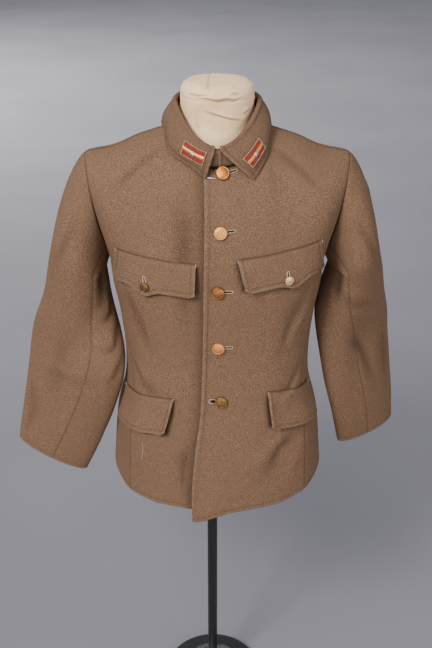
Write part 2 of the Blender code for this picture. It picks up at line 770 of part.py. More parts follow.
def sleeve_head(turn, place, side):
    """Sleeve between the armhole edge and the upper arm, on a curve for each turn."""
    start = armhole(turn, side)
    one = np.ones(np.shape(turn))
    end = arm_ring(turn, one, side)
    later = arm_ring(turn, one + 5 * FIRST_PLACE, side)
    reach = np.linalg.norm(end - start, axis=-1)[..., None]
    upper = ((1 + np.cos(turn)) / 2)[..., None]
    leave = np.concatenate([side * (LEAVE_OUT[0] + LEAVE_OUT[1] * upper), 0 * upper,
                            -(LEAVE_DOWN[0] + LEAVE_DOWN[1] * upper)], axis=-1)
    arrive = unit(later - end)
    u = place[..., None]
    return ((1 + 2 * u) * (1 - u) ** 2 * start + u * (1 - u) ** 2 * reach * leave
            + u * u * (3 - 2 * u) * end + u * u * (u - 1) * reach * arrive)


def sleeve(turn, place, side):
    """Outer face of a sleeve: place 0 at the armhole, 1 upper arm, 2 cuff."""
    turn, place = np.broadcast_arrays(turn, place)
    wrapped = (turn + np.pi) % (2 * np.pi) - np.pi
    head = sleeve_head(wrapped, np.minimum(place, 1.0), side)
    arm = arm_ring(wrapped, np.maximum(place, 1.0), side)
    points = np.where((place < 1.0)[..., None], head, arm)
    shift = fold_height(SLEEVE_FOLDS[side], np.degrees(wrapped), place)
    middle, across, forward = arm_axes(np.maximum(place, 1.0), side)
    outward = across * np.cos(wrapped)[..., None] + forward * np.sin(wrapped)[..., None]
    return points + outward * shift[..., None]


def armhole_turns():
    """Turns of the sleeve that meet the body's rows at the armhole."""
    up = np.sin(SHOULDER_TURN * (level_rows()[LOWER_CELLS:] - 1)) / math.sin(SHOULDER_TURN)
    turns = np.arccos(np.clip(2 * up - 1, -1, 1))
    turns = np.concatenate([-turns, turns[:-1][::-1]])
    turns[0] = -np.pi + 1e-9
    return turns


def sleeve_ends(turns, side):
    """Wall at the armhole seam, with its edge flat against the body's edge."""
    samples = armhole_turns()
    here = armhole(samples, side)
    in_front = (samples >= 0)[:, None]
    angle = np.full(samples.shape, side * np.pi / 2)
    level = 1 + armhole_rise(samples)
    inside = side * SMALL_STEP
    body_normal = np.where(in_front, face_normals(body, angle - inside, level),
                           face_normals(back_surface, angle + inside, level))
    into_body = np.where(in_front, body(angle - 10 * inside, level),
                         back_surface(angle + 10 * inside, level))
    near = np.full(samples.shape, FIRST_PLACE)
    sleeve_normal = side * face_normals(lambda turn, place: sleeve(turn, place, side),
                                        samples, near)
    leaving = unit(sleeve(samples, near, side) - here)
    apart = unit(leaving - unit(into_body - here))
    closing = np.sum(leaving * body_normal, axis=-1, keepdims=True) < 0
    outer = here + apart * SEAM_GAP
    inner = outer - np.where(closing, body_normal, sleeve_normal) * WALL
    wrapped = (turns + np.pi) % (2 * np.pi) - np.pi
    return [np.stack([np.interp(wrapped, samples, points[:, k], period=2 * np.pi)
                      for k in range(3)], axis=-1) for points in (outer, inner)]


def make_sleeve(side):
    """Upper and under sleeve of one side."""
    head = np.linspace(0, 1, HEAD_CELLS + 1)
    places = np.concatenate([head, np.linspace(1, 2, ARM_CELLS + 1)[1:]])
    front = np.radians(smooth(SLEEVE_SEAMS[side], "front", places))[:, None]
    back = np.radians(smooth(SLEEVE_SEAMS[side], "back", places))[:, None]
    label = "left" if side == LEFT else "right"
    spans = (
        ("sleeve_upper_" + label, back, front, UPPER_SLEEVE_CELLS),
        ("sleeve_under_" + label, front, back + 2 * np.pi, UNDER_SLEEVE_CELLS),
    )

    def surface(turn, place):
        return sleeve(turn, place, side)

    for name, start, end, cells in spans:
        share = np.linspace(0, 1, cells + 1)
        turns = start + (end - start) * share
        up = np.broadcast_to(places[:, None], turns.shape)
        points = surface(turns, up)
        normals = side * face_normals(surface, turns, np.maximum(up, FIRST_PLACE))
        outer = points
        inner = points - normals * WALL
        outer[0], inner[0] = sleeve_ends(turns[0], side)
        outer = draw_in(outer, ("start", "end"), SLEEVE_SEAM_GAP / 2)
        inner = draw_in(inner, ("start", "end"), SLEEVE_SEAM_GAP / 2)
        sheet_object(name, outer, inner)


# ---------------------------------------------------------------- collar

def neckline(turn):
    """Neckline of the body, round the neck from the front."""
    away = np.abs(turn)
    side = np.where(turn < 0, -1.0, 1.0)
    front = top_line(side * np.minimum(away, np.pi / 2) / (np.pi / 2) * NECK_ANGLE, False)
    from_back = np.maximum(np.pi - away, 0) / (np.pi / 2) * NECK_ANGLE
    back = top_line(side * (np.pi - np.minimum(from_back, NECK_ANGLE)), True)
    return np.where((away <= np.pi / 2)[..., None], front, back)


def fold_line(turn):
    """Top of the collar stand, where the leaf turns over."""
    ahead = np.cos(turn)
    depth = np.where(ahead > 0, FOLD_FRONT, FOLD_BACK)
    height = FOLD_SIDE_Z + np.where(ahead > 0, (FOLD_FRONT_Z - FOLD_SIDE_Z) * ahead ** 2,
                                    (FOLD_BACK_Z - FOLD_SIDE_Z) * ahead ** 2)
    return np.stack([CENTRE_X + FOLD_HALF * np.sin(turn), NECK_Y - depth * ahead, height], axis=-1)


def stand_surface(turn, share):
    """Outer face of the collar stand from the neckline (0) to the fold (1)."""
    turn, share = np.broadcast_arrays(turn, share)
    low = neckline(turn) + np.array([0.0, 0.0, STAND_GAP])
    high = fold_line(turn) - np.array([0.0, 0.0, STAND_GAP])
    return low + (high - low) * share[..., None]


def leaf_column(column, turn):
    """A column of the leaf's edge table, on the turn's own side."""
    degrees = np.degrees(turn)
    return np.where(turn < 0, smooth(LEAF_EDGE[RIGHT], column, degrees),
                    smooth(LEAF_EDGE[LEFT], column, degrees))


def leaf_edge(turn):
    """Lower edge of the collar leaf, lying on the body."""
    away = np.radians(leaf_column("away", turn))
    behind = np.abs(turn) > np.pi / 2
    round_body = np.where(behind, np.sign(turn) * np.pi - away, away)
    level = leaf_column("level", turn)
    lift = leaf_column("lift", turn)[..., None]
    front = body(round_body, level) + face_normals(body, round_body, level) * lift
    back = back_surface(round_body, level)
    back = back + face_normals(back_surface, round_body, level) * lift
    return np.where(behind[..., None], back, front)


def collar_out(turn):
    """Outward direction of the collar at its fold."""
    return np.stack([np.sin(turn), -np.cos(turn), np.zeros(np.shape(turn))], axis=-1)


def leaf_surface(turn, share, radius=ROLL_OUT):
    """Outer face of the leaf: share 0 inside the neck, over the fold, 1 at its edge."""
    turn, share = np.broadcast_arrays(turn, share)
    out = collar_out(turn)
    up = np.array([0.0, 0.0, 1.0])
    core = fold_line(turn) - out * WALL / 2
    roll = ROLL_START + (ROLL_END - ROLL_START) * np.clip(share / ROLL_SHARE, 0, 1)
    rolled = core + radius * (np.cos(roll)[..., None] * out + np.sin(roll)[..., None] * up)
    down = np.clip((share - ROLL_SHARE) / (1 - ROLL_SHARE), 0, None)[..., None]
    edge = leaf_edge(turn) + out * (radius - ROLL_OUT)
    end_roll = core + radius * (math.cos(ROLL_END) * out + math.sin(ROLL_END) * up)
    fallen = end_roll + (edge - end_roll) * down
    fallen = fallen + out * LEAF_BELLY * np.sin(np.pi * down)
    return np.where((share <= ROLL_SHARE)[..., None], rolled, fallen)


def make_collar():
    """Stand and turn-down leaf, open at the front."""
    start = math.radians(COLLAR_FRONT_DEGREES)
    turns = np.linspace(0, 2 * np.pi, NECK_CELLS * 4 + 1)
    turns[0] = start
    turns[-1] = 2 * np.pi - start

    def stand(turn, share):
        return stand_surface((turn + np.pi) % (2 * np.pi) - np.pi, share)

    def leaf(turn, share):
        return leaf_surface((turn + np.pi) % (2 * np.pi) - np.pi, share)

    across, up = np.meshgrid(turns, np.linspace(0, 1, 4))
    outer = stand(across, up)
    inner = outer - collar_out(across) * WALL
    sheet_object("collar_stand", outer, inner, COLLAR_WOOL)

    shares = np.concatenate([np.linspace(0, ROLL_SHARE, 6), np.linspace(ROLL_SHARE, 1, 5)[1:]])
    across, up = np.meshgrid(turns, shares)
    outer = leaf(across, up)
    normals = face_normals(leaf, across, up)
    core = fold_line(across) - collar_out(across) * WALL / 2
    facing = np.sign(np.sum(normals * (outer - core), axis=-1, keepdims=True))
    inner = outer - normals * facing * WALL
    sheet_object("collar_leaf", outer, inner, COLLAR_WOOL)


# ---------------------------------------------------------------- what lies on the panels

def flap_drop(flap, share):
    """Drop of a flap's lower edge: rounded corners, and a point between two hollows."""
    drop = np.full(np.shape(share), flap.drop)
    for scallop in SCALLOPS:
        hang = np.exp(-((share - scallop.share) / scallop.width) ** 2)
        drop = drop + flap.point * scallop.drop * hang
    end = np.minimum(share, 1 - share)
    return drop - CORNER_ROUND * (1 - ease(end / 0.09)) ** 2


def flap_grids(flap, columns=13, rows=5):
    """Outer and inner points of a pocket flap on its front panel."""
    surface = between_rows(front_surface(flap.side))
    share = np.linspace(0, 1, columns)
    share[1], share[-2] = 0.045, 0.955
    top = flap.inner_height + (flap.outer_height - flap.inner_height) * share
    outer = np.zeros((rows, columns, 3))
    inner = np.zeros((rows, columns, 3))
    for i, down in enumerate(np.linspace(1, 0, rows)):
        heights = top - flap_drop(flap, share) * down
        degrees = flap.inner + (flap.outer - flap.inner) * share
        degrees = degrees + flap.slant * down * (1 - share)
        angle = flap.side * np.radians(degrees)
        level = np.array([level_at(a, h) for a, h in zip(angle, heights)])
        lift = LAID_GAP + flap.lift * down ** 2
        outer[i], inner[i] = wall_grids(surface, angle, level, FLAP_WALL, lift + FLAP_WALL)
    return outer, inner


def make_flaps():
    """Chest and hip pocket flaps."""
    for flap in FLAPS:
        outer, inner = flap_grids(flap)
        sheet_object(flap.name, outer, inner)


def button_profile(radius):
    """Half section of a shanked button: shank, back, rim and low dome."""
    thick = BUTTON_THICKNESS * (0.7 + 0.3 * radius / BUTTON_RADIUS)
    shank = SHANK_LENGTH
    return (
        (0.0, 0.0),
        (SHANK_RADIUS, 0.0),
        (SHANK_RADIUS, shank),
        (radius * 0.90, shank),
        (radius, shank + thick * 0.35),
        (radius * 0.93, shank + thick * 0.75),
        (radius * 0.55, shank + thick * 0.95),
        (0.0, shank + thick),
    )


def make_button(name, point, normal, radius, clearance):
    """A metal button standing on its shank just clear of the cloth."""
    middle = point + normal * clearance
    turned_object(name, button_profile(radius), middle, normal, BUTTON_SIDES, BRASS)


def make_buttons():
    """Front buttons on the left front and small buttons on the chest flaps."""
    for button in FRONT_BUTTONS:
        angle = np.array(button.side * math.radians(button.degrees))
        level = np.array(level_at(angle, button.height))
        surface = between_rows(over_front)
        point = surface(angle, level)
        normal = face_normals(surface, angle, level)
        make_button(button.name, point, normal, BUTTON_RADIUS, SEAM_GAP)
    for button, flap in zip(FLAP_BUTTONS, FLAPS):
        surface = between_rows(front_surface(button.side))
        angle = np.array(button.side * math.radians(button.degrees))
        level = np.array(level_at(angle, button.height))
        point = surface(angle, level)
        normal = face_normals(surface, angle, level)
        clearance = LAID_GAP + flap.lift + FLAP_WALL + SEAM_GAP
        make_button(button.name, point, normal, FLAP_BUTTON_RADIUS, clearance)


def leaf_patch(tab, along, across):
    """Turn and share on the leaf for distances along and across a tab."""
    turn = np.array(math.radians(tab.degrees))
    share = np.array(tab.share)
    tilt = math.radians(tab.tilt)
    along, across = (along * math.cos(tilt) - across * math.sin(tilt),
                     along * math.sin(tilt) + across * math.cos(tilt))
    by_turn = leaf_surface(turn + SMALL_STEP, share) - leaf_surface(turn - SMALL_STEP, share)
    by_share = leaf_surface(turn, share + SMALL_STEP) - leaf_surface(turn, share - SMALL_STEP)
    turn_rate = np.linalg.norm(by_turn) / (2 * SMALL_STEP)
    share_rate = np.linalg.norm(by_share) / (2 * SMALL_STEP)
    return turn + along / turn_rate, share + across / share_rate


def patch_object(name, tab, length, width, cells, clearance, thickness, finish):
    """A thin rectangle laid on the collar leaf."""
    along, across = np.meshgrid(np.linspace(-length / 2, length / 2, cells[0] + 1),
                                np.linspace(-width / 2, width / 2, cells[1] + 1))
    turns, shares = leaf_patch(tab, along, across)
    points = leaf_surface(turns, shares)
    normals = face_normals(leaf_surface, turns, shares)
    out = collar_out(turns)
    normals = normals * np.sign(np.sum(normals * out, axis=-1, keepdims=True))
    sheet_object(name, points + normals * (clearance + thickness), points + normals * clearance,
                 finish)


def star_object(name, tab, clearance):
    """A small five-pointed star plate standing on the stripe."""
    turn, share = leaf_patch(tab, np.array(0.0), np.array(0.0))
    middle = leaf_surface(turn, share)
    normal = face_normals(leaf_surface, turn, share)
    normal = normal * np.sign(np.sum(normal * collar_out(turn)))
    first = unit(leaf_surface(turn + SMALL_STEP, share) - middle)
    second = np.cross(normal, first)
    mesh_data = bmesh.new()
    layers = []
    for height in (clearance, clearance + STAR_WALL):
        ring = []
        for k in range(2 * STAR_POINTS):
            radius = STAR_RADIUS if k % 2 == 0 else STAR_RADIUS * STAR_WAIST
            at = math.pi / 2 + math.pi * k / STAR_POINTS
            place = middle + normal * height + radius * (math.cos(at) * first
                                                         + math.sin(at) * second)
            ring.append(mesh_data.verts.new(place))
        layers.append(ring)
    low, high = layers
    mesh_data.faces.new(low[::-1])
    mesh_data.faces.new(high)
    for k in range(2 * STAR_POINTS):
        after = (k + 1) % (2 * STAR_POINTS)
        mesh_data.faces.new((low[k], low[after], high[after], high[k]))
    add_object(name, mesh_data, PALE_METAL)


def make_tabs():
    """Red collar tabs, each with a lengthwise stripe and a star."""
    for tab in TABS:
        label = "left" if tab.side == LEFT else "right"
        clearance = LAID_GAP
        patch_object("tab_" + label, tab, TAB_LENGTH, TAB_WIDTH, (6, 2), clearance, TAB_WALL,
                     TAB_RED)
        clearance += TAB_WALL + TRIM_GAP
        patch_object("tab_stripe_" + label, tab, TAB_LENGTH * 0.96, STRIPE_WIDTH, (6, 1),
                     clearance, STRIPE_WALL, GOLD_BRAID)
        clearance += STRIPE_WALL + TRIM_GAP
        star_object("tab_star_" + label, tab, clearance)


def make_hook():
    """Steel hook bar lying on the left front under the leaf tip."""
    angle = np.array(math.radians(HOOK_DEGREES))
    level = np.array(level_at(angle, HOOK_HEIGHT))
    middle = over_front(angle, level)
    normal = face_normals(over_front, angle, level)
    along = unit(over_front(angle + SMALL_STEP, level) - middle)
    start = middle + normal * (HOOK_RADIUS + SEAM_GAP) - along * HOOK_LENGTH / 2
    profile = ((0.0, 0.0), (HOOK_RADIUS, 0.0), (HOOK_RADIUS, HOOK_LENGTH), (0.0, HOOK_LENGTH))
    turned_object("collar_hook", profile, start, along, 8, STEEL)


# ---------------------------------------------------------------- dress form and stand

def form_surface(angle, level, back):
    """Torso of the form: inside the tunic, and just clear of it at the shoulders."""
    def cloth(across, up):
        return body(across, up, back)

    points = cloth(angle, level)
    normals = face_normals(cloth, angle, level)
    if level == TOP_LEVEL:
        normals = shoulder_mitre(normals[None], angle[None])[0]
    inset = WALL + smooth(FORM_INSET, "inset", level)
    middle = np.exp(-(angle / FORM_FRONT_WIDTH) ** 2)
    away = np.minimum(np.abs(angle), np.pi - np.abs(angle))
    near_neck = ease((NECK_ANGLE + FORM_NECK_WIDTH - away) / FORM_NECK_WIDTH)
    near_neck = near_neck * ease((level - FORM_NECK_LEVEL) / (TOP_LEVEL - FORM_NECK_LEVEL))
    inset = inset + FORM_FRONT_EXTRA * middle + FORM_NECK_EXTRA * near_neck
    return points - normals * inset[..., None]


def form_bottom():
    """Height of the form's flat underside."""
    return HEM + (UNDERARM - HEM) * FORM_BOTTOM_LEVEL


def neck_ring(turn, ring):
    """Oval ring of the form's neck."""
    x = CENTRE_X + NECK_HALF * ring.scale * np.sin(turn)
    y = ring.y - NECK_HALF_DEPTH * ring.scale * np.cos(turn)
    return np.stack([x, y, np.full(np.shape(turn), ring.height)], axis=-1)


def form_angles():
    """Angles of the form's front and back points, shoulder to shoulder."""
    outer_share = np.linspace(0, 1, SHOULDER_CELLS + 1)
    middle_share = np.linspace(0, 1, NECK_CELLS * 2 + 1)[1:-1]
    side = NECK_ANGLE + (np.pi / 2 - NECK_ANGLE) * outer_share
    middle = NECK_ANGLE * (2 * middle_share - 1)
    front = np.concatenate([-side[::-1], middle, side])
    back = np.concatenate([np.pi - side[::-1], np.pi + middle, np.pi + side])
    return front, np.where(back > np.pi, back - 2 * np.pi, back)


def form_rings(front, back):
    """Rings of the torso's points; the top one is closed along both shoulders."""
    levels = level_rows()
    levels = np.concatenate([[FORM_BOTTOM_LEVEL], levels[levels > FORM_SECOND_LEVEL]])
    rings = [np.concatenate([form_surface(front, level, False),
                             form_surface(back, level, True)]) for level in levels]
    rings[0][:, 2] = form_bottom()
    top = rings[-1]
    last = len(front) + len(back) - 1
    for k in range(SHOULDER_CELLS + 1):
        for one, other in ((k, last - k), (len(front) - 1 - k, len(front) + k)):
            top[[one, other]] = (top[one] + top[other]) / 2
    return rings


def make_form_torso():
    """Torso and neck of the form as one closed solid."""
    front, back = form_angles()
    mesh_data = bmesh.new()
    verts = [[mesh_data.verts.new(point) for point in ring] for ring in form_rings(front, back)]
    count = len(verts[0])
    for low, high in zip(verts, verts[1:]):
        for k in range(count):
            after = (k + 1) % count
            for face in split_square(low[k], low[after], high[after], high[k]):
                mesh_data.faces.new(face)
    mesh_data.faces.new(verts[0][::-1])
    neck_front = slice(SHOULDER_CELLS, len(front) - SHOULDER_CELLS)
    neck_back = slice(SHOULDER_CELLS + 1, len(back) - SHOULDER_CELLS - 1)
    previous = verts[-1][:len(front)][neck_front] + verts[-1][len(front):][neck_back]
    angles = np.concatenate([front[neck_front], back[neck_back]])
    share = np.minimum(np.abs(angles), np.pi - np.abs(angles)) / NECK_ANGLE
    turns = np.where(np.abs(angles) <= np.pi / 2, share, 2 - share) * np.pi / 2 * np.sign(angles)
    first = neck_ring(turns, NECK_RINGS[0])
    neckline_points = np.array([vertex.co for vertex in previous])
    root = neckline_points + (first - neckline_points) * NECK_ROOT_SHARE
    root[:, 2] = np.minimum(root[:, 2], neckline_points[:, 2]) - NECK_ROOT_DIP
    for points in [root] + [neck_ring(turns, ring) for ring in NECK_RINGS]:
        current = [mesh_data.verts.new(point) for point in points]
        join_rings(mesh_data, [previous, current], len(current))
        previous = current
    mesh_data.faces.new(previous)
    add_object("form_torso", mesh_data, CANVAS)


def make_form_cap():
    """Rounded canvas cap that closes the neck."""
    ring_at = NECK_RINGS[-1]
    mesh_data = bmesh.new()
    rings = []
    for scale, height in CAP_PROFILE:
        count = CAP_SIDES if scale > 0 else 1
        turns = np.arange(count) * 2 * np.pi / CAP_SIDES
        row = NeckRing(ring_at.height + SEAM_GAP + height, ring_at.scale * scale, ring_at.y)
        rings.append([mesh_data.verts.new(point) for point in neck_ring(turns, row)])
    join_rings(mesh_data, rings, CAP_SIDES)
    add_object("form_cap", mesh_data, CANVAS)


def make_stand():
    """Flange, pole and stepped round base."""
    origin = np.array([0.0, 0.0, 0.0])
    up = (0.0, 0.0, 1.0)
    flange_low = form_bottom() - SEAM_GAP - FLANGE_HEIGHT
    flange = ((0.0, flange_low), (FLANGE_RADIUS * 0.7, flange_low),
              (FLANGE_RADIUS, flange_low + FLANGE_HEIGHT * 0.6),
              (FLANGE_RADIUS, flange_low + FLANGE_HEIGHT), (0.0, flange_low + FLANGE_HEIGHT))
    turned_object("pole_flange", flange, origin, up, 28, BLACK_METAL)
    pole = ((0.0, HUB_TOP + SEAM_GAP), (POLE_RADIUS, HUB_TOP + SEAM_GAP),
            (POLE_RADIUS, flange_low - SEAM_GAP), (0.0, flange_low - SEAM_GAP))
    turned_object("pole", pole, origin, up, POLE_SIDES, BLACK_METAL)
    plate = ((0.0, 0.0), (BASE_RADIUS * 0.985, 0.0), (BASE_RADIUS, 0.003),
             (BASE_RADIUS, BASE_EDGE), (BASE_RADIUS * 0.97, BASE_EDGE + 0.003),
             (RING_RADIUS * 1.10, BASE_EDGE + 0.006), (0.0, BASE_EDGE + 0.006))
    turned_object("base_plate", plate, origin, up, BASE_SIDES, BLACK_METAL)
    low = BASE_EDGE + 0.006 + SEAM_GAP
    ring = ((0.0, low), (RING_RADIUS, low), (RING_RADIUS, RING_TOP - 0.002),
            (RING_RADIUS * 0.96, RING_TOP), (HUB_RADIUS * 1.2, RING_TOP + 0.002),
            (HUB_RADIUS, RING_TOP + 0.005), (HUB_RADIUS * 0.9, HUB_TOP), (0.0, HUB_TOP))
    turned_object("base_ring", ring, origin, up, BASE_SIDES, STEEL)


def main():
    """Build the tunic, then what carries it."""
    clear_scene()
    make_front(LEFT)
    make_front(RIGHT)
    make_back()
    make_sleeve(LEFT)
    make_sleeve(RIGHT)
    make_collar()
    make_flaps()
    make_buttons()
    make_tabs()
    make_hook()
    make_form_torso()
    make_form_cap()
    make_stand()


main()
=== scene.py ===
"""Military dress tunic on a limbless dress form: the looks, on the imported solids.

Metres, +Z up, the tunic faces -Y and +X is the wearer's left. Each cloth piece is a
thin shell on the same form as its solid: a function of an angle round the body and a
level up it, or of a turn round the sleeve and a place along it, with soft creases
added. Stitches, buttonholes and buttons are set on those same functions.
"""

import math
from collections import namedtuple

import bpy
import numpy as np
from bpy.props import FloatProperty, FloatVectorProperty, PointerProperty
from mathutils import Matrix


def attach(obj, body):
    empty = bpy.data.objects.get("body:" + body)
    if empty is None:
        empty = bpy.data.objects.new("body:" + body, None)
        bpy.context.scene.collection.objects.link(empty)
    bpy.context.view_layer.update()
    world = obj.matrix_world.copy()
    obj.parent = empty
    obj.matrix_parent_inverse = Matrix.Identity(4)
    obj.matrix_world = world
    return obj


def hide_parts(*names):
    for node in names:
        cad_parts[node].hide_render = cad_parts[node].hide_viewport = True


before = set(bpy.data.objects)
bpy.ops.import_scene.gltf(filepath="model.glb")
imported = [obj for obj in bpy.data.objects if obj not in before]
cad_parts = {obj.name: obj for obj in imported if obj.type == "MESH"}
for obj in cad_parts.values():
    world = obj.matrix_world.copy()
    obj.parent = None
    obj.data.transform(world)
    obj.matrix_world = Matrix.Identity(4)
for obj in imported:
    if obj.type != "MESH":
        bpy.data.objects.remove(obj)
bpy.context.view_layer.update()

bl_info = {
    "name": "Dress tunic on a form",
    "version": (1, 0, 0),
    "blender": (4, 5, 0),
    "location": "View3D > Sidebar > Tunic",
    "description": "Builds a woollen dress tunic on its dress form and stand",
    "category": "Object",
}

# ---------------------------------------------------------------- driving sizes

WALL = 0.0024  # thickness of the wool cloth
FLAP_WALL = 0.0028  # two layers of cloth in a pocket flap
SEAM_GAP = 0.0003  # between neighbouring pieces
LAID_GAP = 0.0009  # under what lies on a curved panel
TRIM_GAP = 0.0006  # between a collar tab, its stripe and its star
LAP_GAP = 0.0012  # between the two fronts where they lap

CENTRE_X = 0.009  # the form stands this far to one side of the pole
HEM = 0.537
HEM_RISE = 0.026  # the hem is this much higher at the sides
UNDERARM = 0.985

NECK_POINT = 0.078  # neckline half-width at the shoulder seam
NECK_Y = -0.003
NECK_FRONT = 0.077  # neckline depth forward of NECK_Y
NECK_BACK = 0.073
NECK_Z = 1.197
NECK_DIP = 0.047  # the neckline is this much lower at the front
NECK_RISE = 0.008  # and this much higher at the back
SHOULDER_TIP = 0.208
SHOULDER_DROP = 0.042
SHOULDER_SAG = 0.005  # the outer shoulder seam hangs this far below a straight line
SAG_START = 0.30  # from this share of its length outwards
NECK_ANGLE = math.radians(30)

FRONT_TURN = math.radians(62)  # how far the front rolls back towards the neck
BACK_TURN = math.radians(66)
SHOULDER_TURN = math.radians(86)
FRONT_SCYE = 0.056  # how far each armhole edge swells out of its side line
BACK_SCYE = 0.066
SCYE_SHAPE = 0.8  # below 1 the swelling sits lower

LEFT = 1  # wearer's left, +X
RIGHT = -1
SIDE_NAMES = {LEFT: "left", RIGHT: "right"}


def rows(kind, *values):
    """A table whose rows are all of one kind."""
    return tuple(kind(*value) for value in values)


# Body below the armholes: reach is measured from the middle plane.
Section = namedtuple("Section", "height half_width front back side squareness")
BODY = rows(
    Section,
    (0.48, 0.198, 0.124, 0.152, 0.03, 0.03),
    (0.537, 0.195, 0.124, 0.152, 0.029, 0.03),
    (0.61, 0.188, 0.123, 0.152, 0.025, 0.03),
    (0.68, 0.18, 0.121, 0.146, 0.02, 0.032),
    (0.75, 0.163, 0.117, 0.13, 0.014, 0.036),
    (0.83, 0.16, 0.115, 0.12, 0.01, 0.04),
    (0.9, 0.167, 0.118, 0.122, 0.007, 0.044),
    (0.945, 0.174, 0.121, 0.124, 0.005, 0.046),
    (0.985, 0.177, 0.122, 0.125, 0.004, 0.046),
)

# Edge of the front that laps over, in degrees past the middle line.
Edge = namedtuple("Edge", "level degrees")
LAP_EDGE = rows(
    Edge, (0, -11.4), (0.09, -12), (0.23, -11), (0.4, -8.8), (0.57, -7.8),
    (0.92, -5.9), (1.25, -5.2), (1.52, -4.9), (2, -5),
)

# Edge of the front that lies under it.
UNDERLAP_EDGE = rows(Edge, (0, -9), (1, -7), (2, -5))

LAP_MARGIN = math.radians(1.5)  # the under front stays down this far past the edge
LAP_WIDTH = math.radians(10)  # and comes up to the body's face over this much
CORNER_WIDTH = math.radians(13)  # the lower front corner of the upper front droops
CORNER_LEVELS = 0.16
CORNER_SHIFT = (0.0, -0.007, -0.020)

# Side seam, in degrees round from the middle of the front.
SIDE_SEAM = rows(Edge, (0, 50), (0.35, 54), (0.7, 68), (1, 90))

# Largest folds: depth is outward, lean is degrees gained per level or place.
Fold = namedtuple("Fold", "degrees place lean width reach depth")
BODY_FOLDS = rows(
    Fold,
    (-22, 0.1, 6, 6, 0.3, -0.004),
    (24, 0.16, -40, 6, 0.22, 0.0035),
    (-48, 0.22, 10, 8, 0.3, 0.004),
    (52, 0.2, 8, 8, 0.3, 0.003),
    (-34, 0.85, 20, 7, 0.25, -0.003),
    (40, 0.8, -15, 8, 0.25, -0.003),
    (128, 0.15, 5, 9, 0.35, 0.005),
    (-140, 0.2, -6, 9, 0.35, 0.0045),
    (175, 0.45, 0, 10, 0.3, -0.004),
)

# Sleeve sections from the upper arm (place 1) to the cuff (place 2).
Arm = namedtuple("Arm", "place out y height half_width half_depth tilt twist")
ARMS = {
    RIGHT: rows(
        Arm,
        (1, 0.232, 0.004, 0.965, 0.049, 0.066, 20, 0),
        (1.2, 0.237, 0.004, 0.89, 0.062, 0.052, 16, -6),
        (1.4, 0.243, -0.006, 0.815, 0.086, 0.036, 15, -18),
        (1.6, 0.257, -0.01, 0.74, 0.087, 0.03, 17, -18),
        (1.8, 0.279, -0.008, 0.66, 0.079, 0.026, 21, -14),
        (2, 0.304, -0.006, 0.584, 0.069, 0.021, 24, -10),
    ),
    LEFT: rows(
        Arm,
        (1, 0.229, 0.01, 0.965, 0.045, 0.066, 20, -8),
        (1.2, 0.23, 0.026, 0.89, 0.064, 0.05, 12, -26),
        (1.4, 0.244, 0.044, 0.815, 0.08, 0.036, 9, -38),
        (1.6, 0.257, 0.055, 0.74, 0.082, 0.031, 8, -41),
        (1.8, 0.274, 0.066, 0.66, 0.077, 0.027, 7, -40),
        (2, 0.286, 0.076, 0.586, 0.07, 0.022, 5, -37),
    ),
}

# Seams of the two-piece sleeve, in degrees of turn: 0 outer, 90 front, 180 inner.
Seam = namedtuple("Seam", "place front back")
SLEEVE_SEAMS = {
    RIGHT: rows(Seam, (0, 138, -126), (1, 128, -118), (1.5, 114, -112), (2, 94, -106)),
    LEFT: rows(Seam, (0, 138, -126), (1, 122, -118), (1.5, 108, -112), (2, 100, -106)),
}

# Dents and ridges of the sleeves.
SLEEVE_FOLDS = {
    RIGHT: rows(
        Fold,
        (120, 1.28, -90, 22, 0.14, -0.006),
        (140, 1.46, -60, 22, 0.12, 0.004),
        (60, 0.85, 40, 20, 0.25, -0.003),
        (-90, 1.35, 80, 24, 0.16, -0.005),
    ),
    LEFT: rows(
        Fold,
        (110, 1.22, -60, 22, 0.12, 0.0045),
        (105, 1.5, 30, 20, 0.22, -0.006),
        (60, 0.85, -40, 20, 0.25, -0.003),
        (-80, 1.4, -70, 24, 0.16, -0.005),
    ),
}

# Collar: fold line of the turn-down, and where the leaf's lower edge lies on the
# body. Degrees go round the neck from the front, + to the wearer's left.
FOLD_HALF = 0.0665
FOLD_FRONT = 0.083
FOLD_BACK = 0.069
FOLD_FRONT_Z = 1.181
FOLD_SIDE_Z = 1.235
FOLD_BACK_Z = 1.242
COLLAR_FRONT_DEGREES = 3.0
STAND_GAP = 0.0005
ROLL_IN = WALL / 2 + 0.0006
ROLL_OUT = ROLL_IN + WALL
ROLL_SHARE = 0.34  # share of the leaf's width that rolls over the fold line
ROLL_START = math.radians(190)
ROLL_END = math.radians(-12)
LEAF_BELLY = 0.005  # how far the leaf bows out between its fold and its edge
# Away is measured from the middle line of the front or, past the shoulder, of the back.
LeafEdge = namedtuple("LeafEdge", "degrees away level lift")
LEAF_EDGE = {
    RIGHT: rows(
        LeafEdge,
        (-180, 0, 1.86, 0.0032),
        (-140, -19, 1.87, 0.0032),
        (-110, -30.5, 1.94, 0.0032),
        (-90, -33.6, 1.985, 0.0032),
        (-75, -30.2, 1.85, 0.0032),
        (-60, -25, 1.805, 0.0034),
        (-42, -17.5, 1.87, 0.0034),
        (-22, -10.5, 1.91, 0.0036),
        (-3, -4.5, 1.85, 0.0038),
    ),
    LEFT: rows(
        LeafEdge,
        (3, 14.75, 1.715, 0.0038),
        (30, 20, 1.735, 0.0036),
        (58, 28.5, 1.745, 0.0034),
        (75, 31.6, 1.84, 0.0032),
        (90, 31, 1.985, 0.0032),
        (110, 28.8, 1.94, 0.0032),
        (140, 19, 1.87, 0.0032),
        (180, 0, 1.86, 0.0032),
    ),
}

